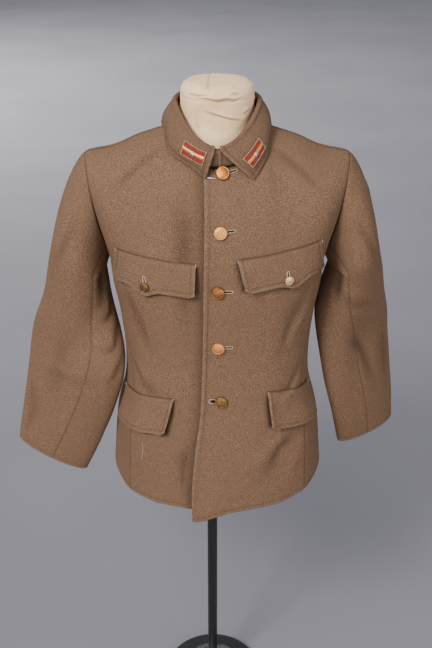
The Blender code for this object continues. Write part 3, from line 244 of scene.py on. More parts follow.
# Collar tabs: middle on the leaf by degrees round the neck and share of the leaf, and how
# many degrees the tab is turned on it.
Tab = namedtuple("Tab", "side degrees share tilt")
TABS = rows(
    Tab,
    (RIGHT, -23.5, 0.604, -4.3),
    (LEFT, 30.7, 0.69, -6.1),
)
TAB_LENGTH = 0.039
TAB_WIDTH = 0.018
TAB_WALL = 0.0014
STRIPE_WIDTH = 0.0048
STRIPE_WALL = 0.0008
STAR_RADIUS = 0.0042
STAR_WALL = 0.0010
STAR_POINTS = 5
STAR_WAIST = 0.45  # radius between the points, as a share of the star's

# Pocket flaps: the two ends of the top edge, the drop of the lower edge, how far its
# point hangs below it, and how many degrees the inner end slants outward.
Flap = namedtuple("Flap", "name side inner inner_height outer outer_height drop point slant lift")
FLAPS = rows(
    Flap,
    ("chest_flap_right", RIGHT, 9, 1.01, 60, 1.024, 0.055, 0.009, 0.7, 0.002),
    ("chest_flap_left", LEFT, 8.4, 1.018, 64, 1.037, 0.054, 0.008, 3.6, 0.002),
    ("hip_flap_right", RIGHT, 23.5, 0.763, 70, 0.752, 0.069, 0, 3.2, 0.0016),
    ("hip_flap_left", LEFT, 28, 0.774, 71, 0.757, 0.07, 0, 0, 0.0016),
)
CORNER_ROUND = 0.0050
# Scallops of a pointed flap: share of its width, half-width, and share of the point's drop.
Scallop = namedtuple("Scallop", "share width drop")
SCALLOPS = rows(
    Scallop, (0.5, 0.11, 1), (0.74, 0.12, -0.45), (0.28, 0.12, -0.15),
)

# Buttons: degrees round from the front and height of each middle.
Button = namedtuple("Button", "name side degrees height")
FRONT_BUTTONS = rows(
    Button,
    ("button_1", LEFT, 1.9, 1.143),
    ("button_2", LEFT, 1.2, 1.06),
    ("button_3", LEFT, 0.3, 0.964),
    ("button_4", LEFT, 0.5, 0.863),
    ("button_5", LEFT, 1.9, 0.762),
)
FLAP_BUTTONS = rows(
    Button,
    ("flap_button_right", RIGHT, 34.6, 0.969),
    ("flap_button_left", LEFT, 33, 0.981),
)
BUTTON_RADIUS = 0.0104
FLAP_BUTTON_RADIUS = 0.0075
BUTTON_THICKNESS = 0.0038
SHANK_LENGTH = 0.0018

HOOK_LENGTH = 0.0135
HOOK_DEGREES = -2.2
HOOK_HEIGHT = 1.137
HOOK_RADIUS = 0.0008
HOOK_SOFT = 0.4  # share of the radius by which its ends are rounded
HOOK_SIDES = 16

# Dress form and stand
Girth = namedtuple("Girth", "level inset")
FORM_INSET = rows(
    Girth, (0.1, 0.02), (0.35, 0.016), (0.6, 0.011), (1, 0.007), (1.4, 0.004),
    (1.75, 0.0012), (2, 0.0005),
)
FORM_BOTTOM_LEVEL = 0.15
FORM_FRONT_EXTRA = 0.005  # more room behind the lapped fronts
FORM_FRONT_WIDTH = math.radians(20)
FORM_NECK_EXTRA = 0.0045  # and under the neckline
FORM_NECK_WIDTH = math.radians(8)
FORM_NECK_LEVEL = 1.5
TOP_LEVEL = 2.0
NECK_HALF = 0.0570
NECK_HALF_DEPTH = 0.0585
NeckRing = namedtuple("NeckRing", "height scale y")
NECK_RINGS = rows(
    NeckRing, (1.192, 1.05, -0.004), (1.205, 1.01, -0.005), (1.224, 1, -0.006),
    (1.243, 0.995, -0.007),
)
NECK_ROOT_SHARE = 0.35  # the neck's root lies this far in from the neckline,
NECK_ROOT_DIP = 0.002  # and this far below it
# Half section of the rounded cap: share of the neck's size, and height above its seam.
CAP_PROFILE = ((0, 0), (0.985, 0), (1, 0.004), (0.99, 0.011), (0.94, 0.0175),
               (0.81, 0.0225), (0.5, 0.0252), (0, 0.026))
POLE_RADIUS = 0.0095
FLANGE_RADIUS = 0.032
FLANGE_HEIGHT = 0.012
BASE_RADIUS = 0.100
BASE_EDGE = 0.012
RING_RADIUS = 0.0575
RING_TOP = 0.032
HUB_RADIUS = 0.020
HUB_TOP = 0.052

TINY = 1e-12  # keeps a vector of no length from dividing by nothing
AXIS_RADIUS = 1e-5  # keeps a turned piece's points on its axis apart
ANGLE_SLACK = 1e-6  # for comparing angles
SMALL_STEP = 1e-3  # for directions along a surface
NORMAL_STEP = 2e-4  # and for its normals
HALVINGS = 24  # of the range in which a level is sought

# Soft creases: a path of (degrees, level), or (turn, place) on a sleeve, its half-width
# in millimetres, its depth (+ a ridge, - a trough) and the height of the roll beside it.
Crease = namedtuple("Crease", "path width depth roll")
BODY_CREASES = rows(
    Crease,
    (((-13, 1.6), (-14, 1.15), (-14.5, 0.75)), 14, -2.2, 0.8),
    (((20, 0.13), (33, 0.26), (44, 0.3)), 11, -2.6, 2),
    (((-16.5, 0.06), (-17.5, 0.18), (-15, 0.3)), 8, -2.6, 1.6),
    (((-52, 0.95), (-44, 0.8), (-38, 0.66)), 12, -2, 1.4),
    (((50, 0.94), (42, 0.8), (36, 0.68)), 12, -2, 1.4),
    (((-60, 0.62), (-46, 0.52), (-32, 0.5)), 10, -1.8, 1.2),
    (((58, 0.6), (44, 0.5), (30, 0.49)), 10, -1.8, 1.2),
    (((-40, 0.1), (-38, 0.26), (-42, 0.42)), 14, 2.6, 0),
    (((38, 0.02), (40, 0.14), (46, 0.22)), 14, 2.2, 0),
    (((-30, 1.72), (-48, 1.62), (-66, 1.5)), 15, -1.8, 1),
    (((30, 1.74), (48, 1.63), (66, 1.5)), 15, -1.8, 1),
    (((118, 0.95), (135, 0.84), (155, 0.8)), 14, -2.8, 1.8),
    (((-116, 0.98), (-133, 0.86), (-152, 0.82)), 14, -2.8, 1.8),
    (((112, 0.64), (130, 0.6), (152, 0.63)), 12, -2.4, 1.6),
    (((-112, 0.66), (-131, 0.61), (-150, 0.65)), 12, -2.4, 1.6),
    (((150, 0.05), (156, 0.3), (152, 0.46)), 16, 2.6, 0),
    (((-148, 0.08), (-152, 0.28), (-149, 0.44)), 16, 2.6, 0),
    (((140, 1.78), (120, 1.66), (102, 1.5)), 16, -2, 1.2),
    (((-140, 1.78), (-121, 1.66), (-103, 1.52)), 16, -2, 1.2),
)
SLEEVE_CREASES = {
    RIGHT: rows(
        Crease,
        (((178, 1.1), (160, 1.2), (140, 1.26)), 8, -2.8, 2.4),
        (((176, 1.24), (158, 1.34), (136, 1.36)), 8, -3.4, 2.4),
        (((174, 1.36), (160, 1.46), (144, 1.5)), 9, -2.6, 2),
        (((132, 1.46), (104, 1.56), (60, 1.55)), 11, -0.8, 0.6),
        (((154, 0.86), (150, 1), (146, 1.12)), 9, -5, 1.6),
        (((84, 1.3), (76, 1.5), (70, 1.72)), 16, -1.2, 0.8),
        (((-140, 1.15), (-110, 1.3), (-70, 1.36)), 10, -2.4, 1.8),
        (((176, 1.08), (180, 1.35), (176, 1.66)), 30, 5, 0),
        (((70, 0.35), (58, 0.7), (40, 1.05)), 13, -1.6, 1),
        (((-70, 0.4), (-60, 0.75), (-44, 1.1)), 13, -1.6, 1),
        (((30, 1.62), (44, 1.78), (40, 1.94)), 14, -1.6, 0.8),
        (((-60, 1.6), (-70, 1.76), (-64, 1.92)), 14, -1.6, 0.8),
    ),
    LEFT: rows(
        Crease,
        (((142, 1.08), (112, 1.18), (76, 1.22)), 9, -1.6, 1.6),
        (((148, 0.86), (142, 1), (140, 1.14)), 9, -5, 1.6),
        (((120, 1.34), (96, 1.5), (84, 1.72)), 10, -3, 1.6),
        (((60, 1.4), (52, 1.58), (56, 1.78)), 12, -1.6, 1),
        (((-140, 1.16), (-108, 1.28), (-72, 1.34)), 10, -2.4, 1.8),
        (((76, 0.3), (60, 0.66), (44, 1.02)), 13, -1.6, 1),
        (((-72, 0.4), (-60, 0.75), (-46, 1.08)), 13, -1.6, 1),
        (((20, 0.18), (14, 0.34), (2, 0.46)), 9, 1.8, 0),
        (((-62, 1.6), (-72, 1.76), (-66, 1.92)), 14, -1.6, 0.8),
    ),
}
# Creases of the neck canvas: turn round the neck in degrees and height in millimetres.
NECK_CREASES = rows(
    Crease,
    (((-34, 1247.5), (-16, 1249), (0, 1246), (14, 1248), (26, 1245.5), (41, 1249)),
     2, -2.6, 1.8),
    (((-18, 1230.5), (8, 1222.5), (40, 1213.5)), 1.6, -2.4, 1.6),
    (((42, 1223), (62, 1229)), 1.8, -1.6, 1),
    (((-52, 1253), (-30, 1252), (-18, 1254.5)), 1.8, -1.4, 1),
    (((16, 1253.5), (28, 1256), (42, 1252.5)), 1.8, -1.3, 0.9),
    (((-34, 1215), (-28, 1200)), 3, -0.8, 0.5),
    (((150, 1238), (172, 1232), (196, 1236)), 2.2, -2, 1.4),
    (((80, 1240), (96, 1226)), 2.4, -1.6, 1),
    (((-84, 1236), (-98, 1222)), 2.4, -1.6, 1),
)
CREASE_SWAY = 0.25  # how much a crease's width varies along it,
CREASE_WAVES = 7.0  # and how often, in radians from end to end
CREASE_END = 0.35  # share of its length over which each end fades
CREASE_LEAST = 0.25  # to this share of its depth
ROLL_AWAY = 1.7  # the roll's distance and width, in widths of its crease
ROLL_WIDTH = 1.2
NOISE_CELLS = 17
SWELL_SEED = 11
SWELL_START = 5.0  # keeps the noise away from its own middle
SWELL_SIZES = (0.115, 0.048)  # lengths of the cloth's slow unevenness
SWELL_HEIGHTS = (0.0012, 0.0005)
SWELL_FADE = 0.25  # levels below the top over which it starts

STITCH = 0.0030  # length of one stitch, with its hole
STITCH_FROM_EDGE = 0.0068
STITCH_SINK = 0.0006  # how deep a row of stitches pulls the cloth in
STITCH_SPREAD = 0.0013
# painted shade in the furrow that a row of stitches pulls in
STITCH_PAINTED_SHADE = 0.35
EDGE_ROLL = 0.0003  # the cloth swells between the stitches and the edge,
EDGE_ROLL_PLACE = 0.0035
EDGE_ROLL_SPREAD = 0.0020
EDGE_DROP = 0.0005  # and falls away at the edge itself
EDGE_DROP_SPREAD = 0.0012
THREAD = 0.00042  # half-thickness of the sewing thread
# A stitch from end to end: share of its length, and its height and half-width in threads.
STITCH_SHAPE = ((-0.5, -0.6, 0.5), (-0.3, 0.5, 1), (0, 0.8, 1.1), (0.3, 0.5, 1), (0.5, -0.6, 0.5))
SEAM_SINK = 0.0016  # how deep a seam lies between its two pieces
SEAM_SPREAD = 0.0030
SEAM_LINE = 0.0015  # half-width of the line of painted shade along a seam
# How deep each kind of seam lies, and how dark its painted shade is, from 0 to 1.
DEEP_SEAM = 0.90
FLAP_SEAM = 0.62
FLAT_SEAM = 0.40
NO_SEAM = {}
ROLL_OUT_EDGE = 0.0007  # a folded edge bulges this far past its line
WEAR_REACH = 0.0026  # rubbed cloth along a free edge
WEAR_MOST = 0.42
INSIDE_PAINTED_SHADE = 0.3  # painted shade on the inner face
SHARP_DEGREES = 52  # a sharper edge than this isn't smoothed over

# Columns close together at an edge, so that its stitch row and its roll show.
EDGE_STEPS = (0.0, 0.0016, 0.0036, 0.0056, 0.0068, 0.0080, 0.0102)
BODY_STEP = 0.0048  # spacing of the points elsewhere
SLEEVE_STEP = 0.0050
COLLAR_STEP = 0.0034
FLAP_STEP = 0.0030

# Flat cut of each piece: width and length of its rectangle and area of the cut.
Cut = namedtuple("Cut", "width length area")
CUTS = {
    "front": Cut(0.27, 0.7, 0.145),
    "back": Cut(0.75, 0.71, 0.378),
    "sleeve_upper": Cut(0.25, 0.6, 0.128),
    "sleeve_under": Cut(0.14, 0.47, 0.056),
    "collar_stand": Cut(0.49, 0.045, 0.0195),
    "collar_leaf": Cut(0.52, 0.08, 0.031),
    "chest_flap": Cut(0.145, 0.067, 0.0087),
    "hip_flap": Cut(0.13, 0.072, 0.0089),
    "tab": Cut(0.04, 0.021, 0.0008),
}

# How a buttonhole lies: its length from the button's middle and its half-width with the
# stitched rim, the slit's share of that, whether it stands upright, which way it runs, and
# how fast it falls away from a flap that stands off. The lowest one gapes.
Hole = namedtuple("Hole", "length half slit upright way dip")
FRONT_HOLE = Hole(0.0235, 0.002, 0.42, False, 1, 0)
GAPING_HOLE = Hole(0.02, 0.0036, 0.8, False, -1, 0)
FLAP_HOLE = Hole(0.017, 0.0019, 0.42, True, 1, 3)
HOLE_LIFT = 0.0003  # a buttonhole's rim stands this far off the cloth,
SLIT_LIFT = 0.0003  # and its slit this much further
HOLE_POINTS = 49
# A slit's outline, in shares of its half-length and half-width.
SLIT_SHAPE = ((-1, 0), (-0.8, -1), (0.8, -1), (1, 0), (0.8, 1), (-0.8, 1))

DUST_AND_SHADE_DEPTH = 0.0055  # a crease this deep is as dark with dust and painted shade as it gets
DUST_AND_SHADE_MOST = 0.55
FLAP_PAINTED_SHADOW = (0.85, 0.0038)  # painted shadow beside a flap's edge: how dark, and how far it reaches
FLAP_PAINTED_SHADOW_FADE = 0.2  # share of the flap over which it starts
LAP_PAINTED_SHADOW = (0.45, 0.0115)  # and painted shadow beside the lap

# Camera and light
CAMERA_PLACE = (0.007, -1.39, 1.555)
CAMERA_DOWN = 27.0  # degrees below the level
LENS_MM = 50.0
LEAVE_OUT = (0.12, 0.46)  # how the sleeve head leaves the armhole: at the underarm,
LEAVE_DOWN = (1.0, -0.40)  # and what is gained towards the shoulder
FIRST_PLACE = 0.02  # where the sleeve's direction at the armhole is taken


# ---------------------------------------------------------------- curves

def smooth(table, column, place):
    """A table column at each place along the table's first column, on a smooth curve."""
    keys = np.array([row[0] for row in table], dtype=float)
    values = np.array([getattr(row, column) for row in table], dtype=float)
    slopes = np.gradient(values, keys)
    place = np.clip(place, keys[0], keys[-1])
    row = np.clip(np.searchsorted(keys, place) - 1, 0, len(keys) - 2)
    step = keys[row + 1] - keys[row]
    u = (place - keys[row]) / step
    start = (1 + 2 * u) * (1 - u) ** 2 * values[row] + u * (1 - u) ** 2 * step * slopes[row]
    end = u * u * (3 - 2 * u) * values[row + 1] + u * u * (u - 1) * step * slopes[row + 1]
    return start + end


def columns(table, place):
    """All columns of a table but its first, at each place."""
    return [smooth(table, name, place) for name in table[0]._fields[1:]]


def ease(value):
    """0 to 1 with a soft start and end."""
    value = np.clip(value, 0.0, 1.0)
    return value * value * (3 - 2 * value)


def unit(vectors):
    """Vectors of length one."""
    length = np.linalg.norm(vectors, axis=-1, keepdims=True)
    return vectors / np.maximum(length, TINY)


def xyz(x, y, z):
    """Points from their coordinates."""
    return np.stack(np.broadcast_arrays(x, y, z), axis=-1)


def outward(angle):
    """Level direction away from the middle, at an angle round from the front."""
    return xyz(np.sin(angle), -np.cos(angle), 0.0)


def wrapped(angle, half_turn=180.0):
    """An angle brought to within half a turn of the front."""
    return (angle + half_turn) % (2 * half_turn) - half_turn


def hump(away, width):
    """1 in the middle of a bell-shaped bump, fading to 0 beyond its width."""
    return np.exp(-(away / width) ** 2)


def face_normals(surface, across, up):
    """Outward unit normals of a surface(across, up) by small steps along both."""
    along = surface(across + NORMAL_STEP, up) - surface(across - NORMAL_STEP, up)
    rise = surface(across, up + NORMAL_STEP) - surface(across, up - NORMAL_STEP)
    return unit(np.cross(along, rise))


def noise_table(seed):
    """Random heights at the corners of a box of cells."""
    return np.random.RandomState(seed).uniform(-1.0, 1.0, (NOISE_CELLS,) * 3)


def soft_noise(points, size, seed):
    """Smooth unevenness between -1 and 1, with bumps of about one size."""
    table = noise_table(seed)
    place = points / size
    cell = np.floor(place).astype(int)
    part = ease(place - cell)
    total = np.zeros(points.shape[:-1])
    for corner in np.ndindex(2, 2, 2):
        index = (cell + corner) % NOISE_CELLS
        weight = np.prod(np.where(np.array(corner) == 1, part, 1 - part), axis=-1)
        total += weight * table[index[..., 0], index[..., 1], index[..., 2]]
    return total


def fold_height(folds, degrees, place):
    """Outward shift of a list of folds at each place."""
    total = np.zeros(np.broadcast(degrees, place).shape)
    for fold in folds:
        away = wrapped(degrees - fold.degrees - fold.lean * (place - fold.place))
        along = hump(place - fold.place, fold.reach)
        total = total + fold.depth * hump(away, fold.width) * along
    return total


def crease_height(creases, degrees, up, scale):
    """Outward shift of soft creases; scale gives metres for a degree and for one up."""
    total = np.zeros(np.broadcast(degrees, up).shape)
    for crease in creases:
        start = crease.path[0]
        along = wrapped(degrees - start[0]) * scale[0]
        rise = (up - start[1]) * scale[1]
        path = [(wrapped(d - start[0]) * scale[0], (u - start[1]) * scale[1])
                for d, u in crease.path]
        near = np.full(total.shape, 1e9)
        side = np.zeros(total.shape)
        share = np.zeros(total.shape)
        for k, (low, high) in enumerate(zip(path, path[1:])):
            run = np.array(high) - np.array(low)
            length = math.hypot(*run)
            t = ((along - low[0]) * run[0] + (rise - low[1]) * run[1]) / length ** 2
            t = np.clip(t, 0.0, 1.0)
            x = along - low[0] - t * run[0]
            y = rise - low[1] - t * run[1]
            distance = np.hypot(x, y)
            closer = distance < near
            near = np.where(closer, distance, near)
            side = np.where(closer, (run[0] * y - run[1] * x) / length, side)
            share = np.where(closer, (k + t) / (len(path) - 1), share)
        width = crease.width / 1000 * (1 + CREASE_SWAY * np.sin(CREASE_WAVES * share + start[0]))
        fade = ease(share / CREASE_END) * ease((1 - share) / CREASE_END)
        fade = CREASE_LEAST + (1 - CREASE_LEAST) * fade
        trough = hump(near, width) * crease.depth
        roll = hump(side - ROLL_AWAY * width, ROLL_WIDTH * width)
        roll = roll * hump(np.maximum(near - np.abs(side), 0), width) * crease.roll
        total = total + (trough + roll) * fade / 1000
    return total


def swell(points):
    """Slow unevenness of cloth that hangs free."""
    total = np.zeros(points.shape[:-1])
    for k, (size, height) in enumerate(zip(SWELL_SIZES, SWELL_HEIGHTS)):
        total += height * soft_noise(points + SWELL_START, size, SWELL_SEED + k)
    return total


def body_ring(angle, height):
    """Level ring of the body: a rounded oval, wider at the side line."""
    half, front, back, side, square = columns(BODY, height)
    wide = (np.sin(angle) + square * np.sin(3 * angle)) / (1 - square)
    deep = (np.cos(angle) - square * np.cos(3 * angle)) / (1 - square)
    reach = np.where(np.cos(angle) >= 0, side + front, back - side)
    return xyz(CENTRE_X + half * wide, side - reach * deep, height)


def top_line(angle, back):
    """Neckline and shoulder seam: where the body ends at the top."""
    side = np.where(angle < 0, -1.0, 1.0)
    away = np.pi - np.abs(angle) if back else np.abs(angle)
    turn = np.clip(away / NECK_ANGLE, 0, 1) * np.pi / 2
    along_shoulder = np.clip((away - NECK_ANGLE) / (np.pi / 2 - NECK_ANGLE), 0, None)
    out = NECK_POINT * np.sin(turn) + (SHOULDER_TIP - NECK_POINT) * along_shoulder
    depth = -NECK_BACK if back else NECK_FRONT
    drop = -NECK_RISE if back else NECK_DIP
    y = NECK_Y - depth * np.cos(turn)
    z = NECK_Z - drop * np.cos(turn) - SHOULDER_DROP * along_shoulder
    past_start = np.clip((along_shoulder - SAG_START) / (1 - SAG_START), 0, 1)
    z = z - SHOULDER_SAG * np.sin(np.pi * past_start) ** 2
    return xyz(CENTRE_X + side * out, y, z)


def shoulder_part(angle, rise, back):
    """Body above the underarm: rolls from the chest ring to the top line."""
    base = body_ring(angle, np.full(np.shape(angle), UNDERARM))
    top = top_line(angle, back)
    away = np.pi - np.abs(angle) if back else np.abs(angle)
    neck_turn = BACK_TURN if back else FRONT_TURN
    turn = neck_turn + (SHOULDER_TURN - neck_turn) * ease(away / NECK_ANGLE)
    up = np.sin(turn * rise) / np.sin(turn)
    inward = (1 - np.cos(turn * rise)) / (1 - np.cos(turn))
    x = base[..., 0] + (top[..., 0] - base[..., 0]) * up
    y = base[..., 1] + (top[..., 1] - base[..., 1]) * inward
    z = base[..., 2] + (top[..., 2] - base[..., 2]) * up
    scye = BACK_SCYE if back else -FRONT_SCYE
    weight = ease((away - NECK_ANGLE) / (np.pi / 2 - NECK_ANGLE))
    y = y + scye * weight * np.sin(np.pi * np.clip(rise, 0, None) ** SCYE_SHAPE)
    return xyz(x, y, z)


def hem_height(angle):
    """Height of the hem round the body."""
    return HEM + HEM_RISE * np.sin(angle) ** 2


BODY_SCALE = (0.0028, 0.45)  # metres for a degree round the body, and for one level


def body(angle, level, back=False):
    """Outer face of the body: level 0 at the hem, 1 at the underarm, 2 at the top."""
    angle, level = np.broadcast_arrays(angle, level)
    hem = hem_height(angle)
    height = hem + (UNDERARM - hem) * np.minimum(level, 1.0)
    lower = body_ring(angle, height)
    upper = shoulder_part(angle, np.maximum(level - 1.0, 0.0), back)
    points = np.where((level <= 1.0)[..., None], lower, upper)
    degrees = np.degrees(angle)
    shift = fold_height(BODY_FOLDS, degrees, level)
    shift = shift + crease_height(BODY_CREASES, degrees, level, BODY_SCALE)
    shift = shift + swell(points) * ease((TOP_LEVEL - level) / SWELL_FADE)
    return points + outward(angle) * shift[..., None]


def over_front(angle, level):
    """Left front: it laps over, and its lower corner stands forward and droops."""
    points = body(angle, level)
    edge = np.radians(smooth(LAP_EDGE, "degrees", level))
    corner = hump(angle - edge, CORNER_WIDTH) * hump(level, CORNER_LEVELS)
    return points + corner[..., None] * np.array(CORNER_SHIFT)


def under_front(angle, level):
    """Right front: it lies behind the left front near the middle."""
    points = body(angle, level)
    edge = -np.radians(smooth(LAP_EDGE, "degrees", level))
    past = (-angle - edge - LAP_MARGIN) / LAP_WIDTH
    shift = (WALL + LAP_GAP) * (1 - ease(past))
    return points - outward(angle) * shift[..., None]


def front_surface(side):
    """The surface function of one front."""
    return over_front if side == LEFT else under_front


def back_surface(angle, level):
    """One-piece back."""
    return body(angle, level, back=True)


def level_at(angle, height, surface=body):
    """Levels of a surface at angles and heights."""
    low = np.zeros(np.shape(angle))
    high = np.full(np.shape(angle), TOP_LEVEL)
    for _ in range(HALVINGS):
        middle = (low + high) / 2
        below = surface(angle, middle)[..., 2] < height
        low = np.where(below, middle, low)
        high = np.where(below, high, middle)
    return (low + high) / 2


# ---------------------------------------------------------------- finishes

def linear(hex_colour):
    """Scene-linear colour of an sRGB hex value, with full alpha."""
    values = [int(hex_colour[k:k + 2], 16) / 255 for k in (1, 3, 5)]
    values = [v / 12.92 if v <= 0.04045 else ((v + 0.055) / 1.055) ** 2.4 for v in values]
    return (*values, 1.0)


def add_node(tree, kind, output, inputs, **settings):
    """Add a node, set its properties, fill or link its inputs, and give one output."""
    node = tree.nodes.new(kind)
    for name, value in settings.items():
        setattr(node, name, value)
    for name, value in inputs.items():
        if isinstance(value, bpy.types.NodeSocket):
            tree.links.new(value, node.inputs[name])
        else:
            node.inputs[name].default_value = value
    return node.outputs[output]


def new_material(name, **values):
    """A Principled material with constant values on its own sockets."""
    material = bpy.data.materials.new(name)
    material.use_nodes = True
    shader = material.node_tree.nodes["Principled BSDF"]
    for socket, value in values.items():
        shader.inputs[socket.replace("_", " ")].default_value = value
    return material, material.node_tree, shader


# How fine each pattern is: the higher, the finer.
HEATHER_SCALE = 620.0
FADING_SCALE = 16.0
TWILL_SCALE = 150.0  # about 2 mm from rib to rib
RUB_SCALE = 110.0
NAP_SCALE = 900.0
STAIN_SCALE = 22.0
SLUB_SCALE = 450.0
WEAVE_SCALE = 830.0
PIT_SCALE = 1100.0
SCUFF_SCALE = 160.0
THREAD_SCALE = 600.0
PAPER_SCALE = 1.1

# Sockets of a colour mix: how much of the second, the first and the second colour.
PART, FIRST, SECOND, MIXED = 0, 6, 7, 2


def feed(tree, shader, **patterns):
    """Link patterns to the shader's own sockets."""
    for socket, pattern in patterns.items():
        tree.links.new(pattern, shader.inputs[socket.replace("_", " ")])


def noise(tree, place, scale, detail, roughness, distortion=0.0):
    """Cloudy noise: the higher the scale, the smaller the clouds."""
    return add_node(tree, "ShaderNodeTexNoise", "Fac",
                    {"Vector": place, "Scale": scale, "Detail": detail,
                     "Roughness": roughness, "Distortion": distortion})


def stretched(tree, value, low, high, least=0.0, most=1.0, kind="SMOOTHSTEP"):
    """The part of a value between low and high, drawn out from least to most."""
    return add_node(tree, "ShaderNodeMapRange", "Result",
                    {"Value": value, "From Min": low, "From Max": high,
                     "To Min": least, "To Max": most}, interpolation_type=kind)


def blended(tree, part, first, second):
    """The first colour where the part is 0, the second where it is 1."""
    return add_node(tree, "ShaderNodeMix", MIXED, {PART: part, FIRST: first, SECOND: second},
                    data_type="RGBA")


def relief(tree, height, strength, distance, **under):
    """Normals of a raised pattern, laid over another relief where there is one."""
    return add_node(tree, "ShaderNodeBump", "Normal",
                    {"Height": height, "Strength": strength, "Distance": distance, **under})


def mesh_value(tree, name):
    """A value that the mesh carries at its points."""
    return add_node(tree, "ShaderNodeAttribute", "Fac", {}, attribute_name=name)


def object_place(tree):
    """Place on the piece in metres, so that patterns keep their real size."""
    return add_node(tree, "ShaderNodeTexCoord", "Object", {})


def cloth_material(name, wool, bump):
    """Milled woollen cloth: dyed wools carded together, woven as twill, raised to a matt nap."""
    material, tree, shader = new_material(name, Roughness=0.95, Sheen_Weight=0.10,
                                          Sheen_Roughness=0.5, IOR=1.45,
                                          Specular_IOR_Level=0.15, Sheen_Tint=wool.light)
    place = object_place(tree)
    woven = add_node(tree, "ShaderNodeUVMap", "UV", {}, uv_map="cloth")
    # Tufts of the paler wool, drawn at about 1.6 mm: coarser than the real fibres.
    heather = noise(tree, place, HEATHER_SCALE, 3.0, 0.65)
    colour = blended(tree, stretched(tree, heather, 0.34, 0.70), wool.dark, wool.light)
    # Slow changes of shade, a hand's breadth across, where the cloth has faded.
    fading = noise(tree, place, FADING_SCALE, 3.0, 0.55, 0.4)
    colour = blended(tree, stretched(tree, fading, 0.30, 0.72, 0.25, 0.60), colour, wool.main)
    twill = add_node(tree, "ShaderNodeTexWave", "Fac",
                     {"Vector": woven, "Scale": TWILL_SCALE, "Distortion": 2.5, "Detail": 2.0,
                      "Detail Scale": 2.0}, wave_type="BANDS", bands_direction="DIAGONAL")
    furrow = stretched(tree, twill, 0.0, 1.0, 0.20, 0.0, "LINEAR")
    colour = blended(tree, furrow, colour, wool.dark)
    # Edges where the nap has rubbed away, in patches.
    patches = stretched(tree, noise(tree, place, RUB_SCALE, 2.0, 0.6), 0.38, 0.68, 0.10)
    worn = add_node(tree, "ShaderNodeMath", 0, {0: mesh_value(tree, "worn"), 1: patches},
                    operation="MULTIPLY")
    colour = blended(tree, worn, colour, wool.rubbed)
    # Painted shade, with some dust: seams, stitch rows, creases, the inner face, beside flaps.
    colour = blended(tree, mesh_value(tree, "deep"), colour, wool.shadow)
    nap = relief(tree, noise(tree, place, NAP_SCALE, 2.0, 0.7), bump, 0.0006)
    ribs = relief(tree, twill, bump * 0.6, 0.0003, Normal=nap)
    feed(tree, shader, Base_Color=colour, Normal=ribs)
    return material


def canvas_material(name, canvas):
    """Unbleached cotton canvas drawn over padding: plain weave, matt, yellowed unevenly."""
    material, tree, shader = new_material(name, Roughness=0.85, Sheen_Weight=0.08,
                                          Specular_IOR_Level=0.25)
    place = object_place(tree)
    stains = stretched(tree, noise(tree, place, STAIN_SCALE, 4.0, 0.6, 0.6), 0.40, 0.72, 0.0, 0.75)
    colour = blended(tree, stains, canvas.main, canvas.soiled)
    flecks = stretched(tree, noise(tree, place, SLUB_SCALE, 2.0, 0.6), 0.56, 0.74, 0.0, 0.28)
    colour = blended(tree, flecks, colour, canvas.soiled)
    # Dust and painted shade in the seams and wrinkles.
    colour = blended(tree, mesh_value(tree, "deep"), colour, canvas.seam)
    # Crossings of the weave at 1.2 mm, a little coarser than real canvas.
    weave = add_node(tree, "ShaderNodeTexVoronoi", "Distance",
                     {"Vector": place, "Scale": WEAVE_SCALE})
    feed(tree, shader, Base_Color=colour, Normal=relief(tree, weave, 0.30, 0.0004))
    return material


def metal_material(name, bright, dull, roughness, patch_scale, grain):
    """Metal once polished: rubbed bright in places, dulled by handling in others."""
    material, tree, shader = new_material(name, Metallic=1.0)
    place = object_place(tree)
    patch = noise(tree, place, patch_scale, 4.0, 0.62, 0.5)
    colour = blended(tree, stretched(tree, patch, 0.36, 0.68), linear(bright), linear(dull))
    gloss = stretched(tree, patch, 0.30, 0.75, roughness, roughness + 0.22, "LINEAR")
    pits = relief(tree, noise(tree, place, PIT_SCALE, 3.0, 0.7), grain, 0.0002)
    feed(tree, shader, Base_Color=colour, Roughness=gloss, Normal=pits)
    return material


def enamel_material(name, black, scuffed, roughness):
    """Black stoving enamel on steel: smooth and hard, with dust and small scuffs."""
    material, tree, shader = new_material(name, IOR=1.5, Coat_Weight=0.25,
                                          Coat_Roughness=0.25)
    scuff = noise(tree, object_place(tree), SCUFF_SCALE, 5.0, 0.7, 1.2)
    scuffs = stretched(tree, scuff, 0.60, 0.74, 0.0, 0.7)
    gloss = stretched(tree, scuff, 0.4, 0.7, roughness, roughness + 0.25, "LINEAR")
    feed(tree, shader, Base_Color=blended(tree, scuffs, linear(black), linear(scuffed)),
         Roughness=gloss)
    return material


def matt_material(name, colour, cloudy, scale, roughness):
    """A matt surface with a slight cloudiness: sewing thread, or seamless paper."""
    material, tree, shader = new_material(name, Roughness=roughness, Specular_IOR_Level=0.25)
    cloud = stretched(tree, noise(tree, object_place(tree), scale, 2.0, 0.55), 0.35, 0.65)
    feed(tree, shader, Base_Color=blended(tree, cloud, colour, cloudy))
    return material


# Dyed wools in one cloth: the dark and the pale fibres, the colour they give together,
# the ground that shows where the nap is rubbed away, and the painted shade of a seam or crease.
Wool = namedtuple("Wool", "dark light main rubbed shadow")
BODY_WOOL = Wool("#523A2A", "#95765D", "#705642", "#927C67", "#2C2017")
COLLAR_WOOL = Wool("#523C2D", "#8A6E57", "#6C5341", "#8E7A66", "#2A2018")
TAB_FELT = Wool("#61241E", "#A2483E", "#85352C", "#9C5A4E", "#3A1410")
# Canvas where it is clean, where it has yellowed, and the dust and painted shade in its seams and
# wrinkles.
Canvas = namedtuple("Canvas", "main soiled seam")
COVER_CANVAS = Canvas("#FBD4AA", "#E2B682", "#8A6C4A")
# Seamless paper, and its slight cloudiness.
Paper = namedtuple("Paper", "main cloudy")
FLOOR_PAPER = Paper("#7C7B81", "#77767C")


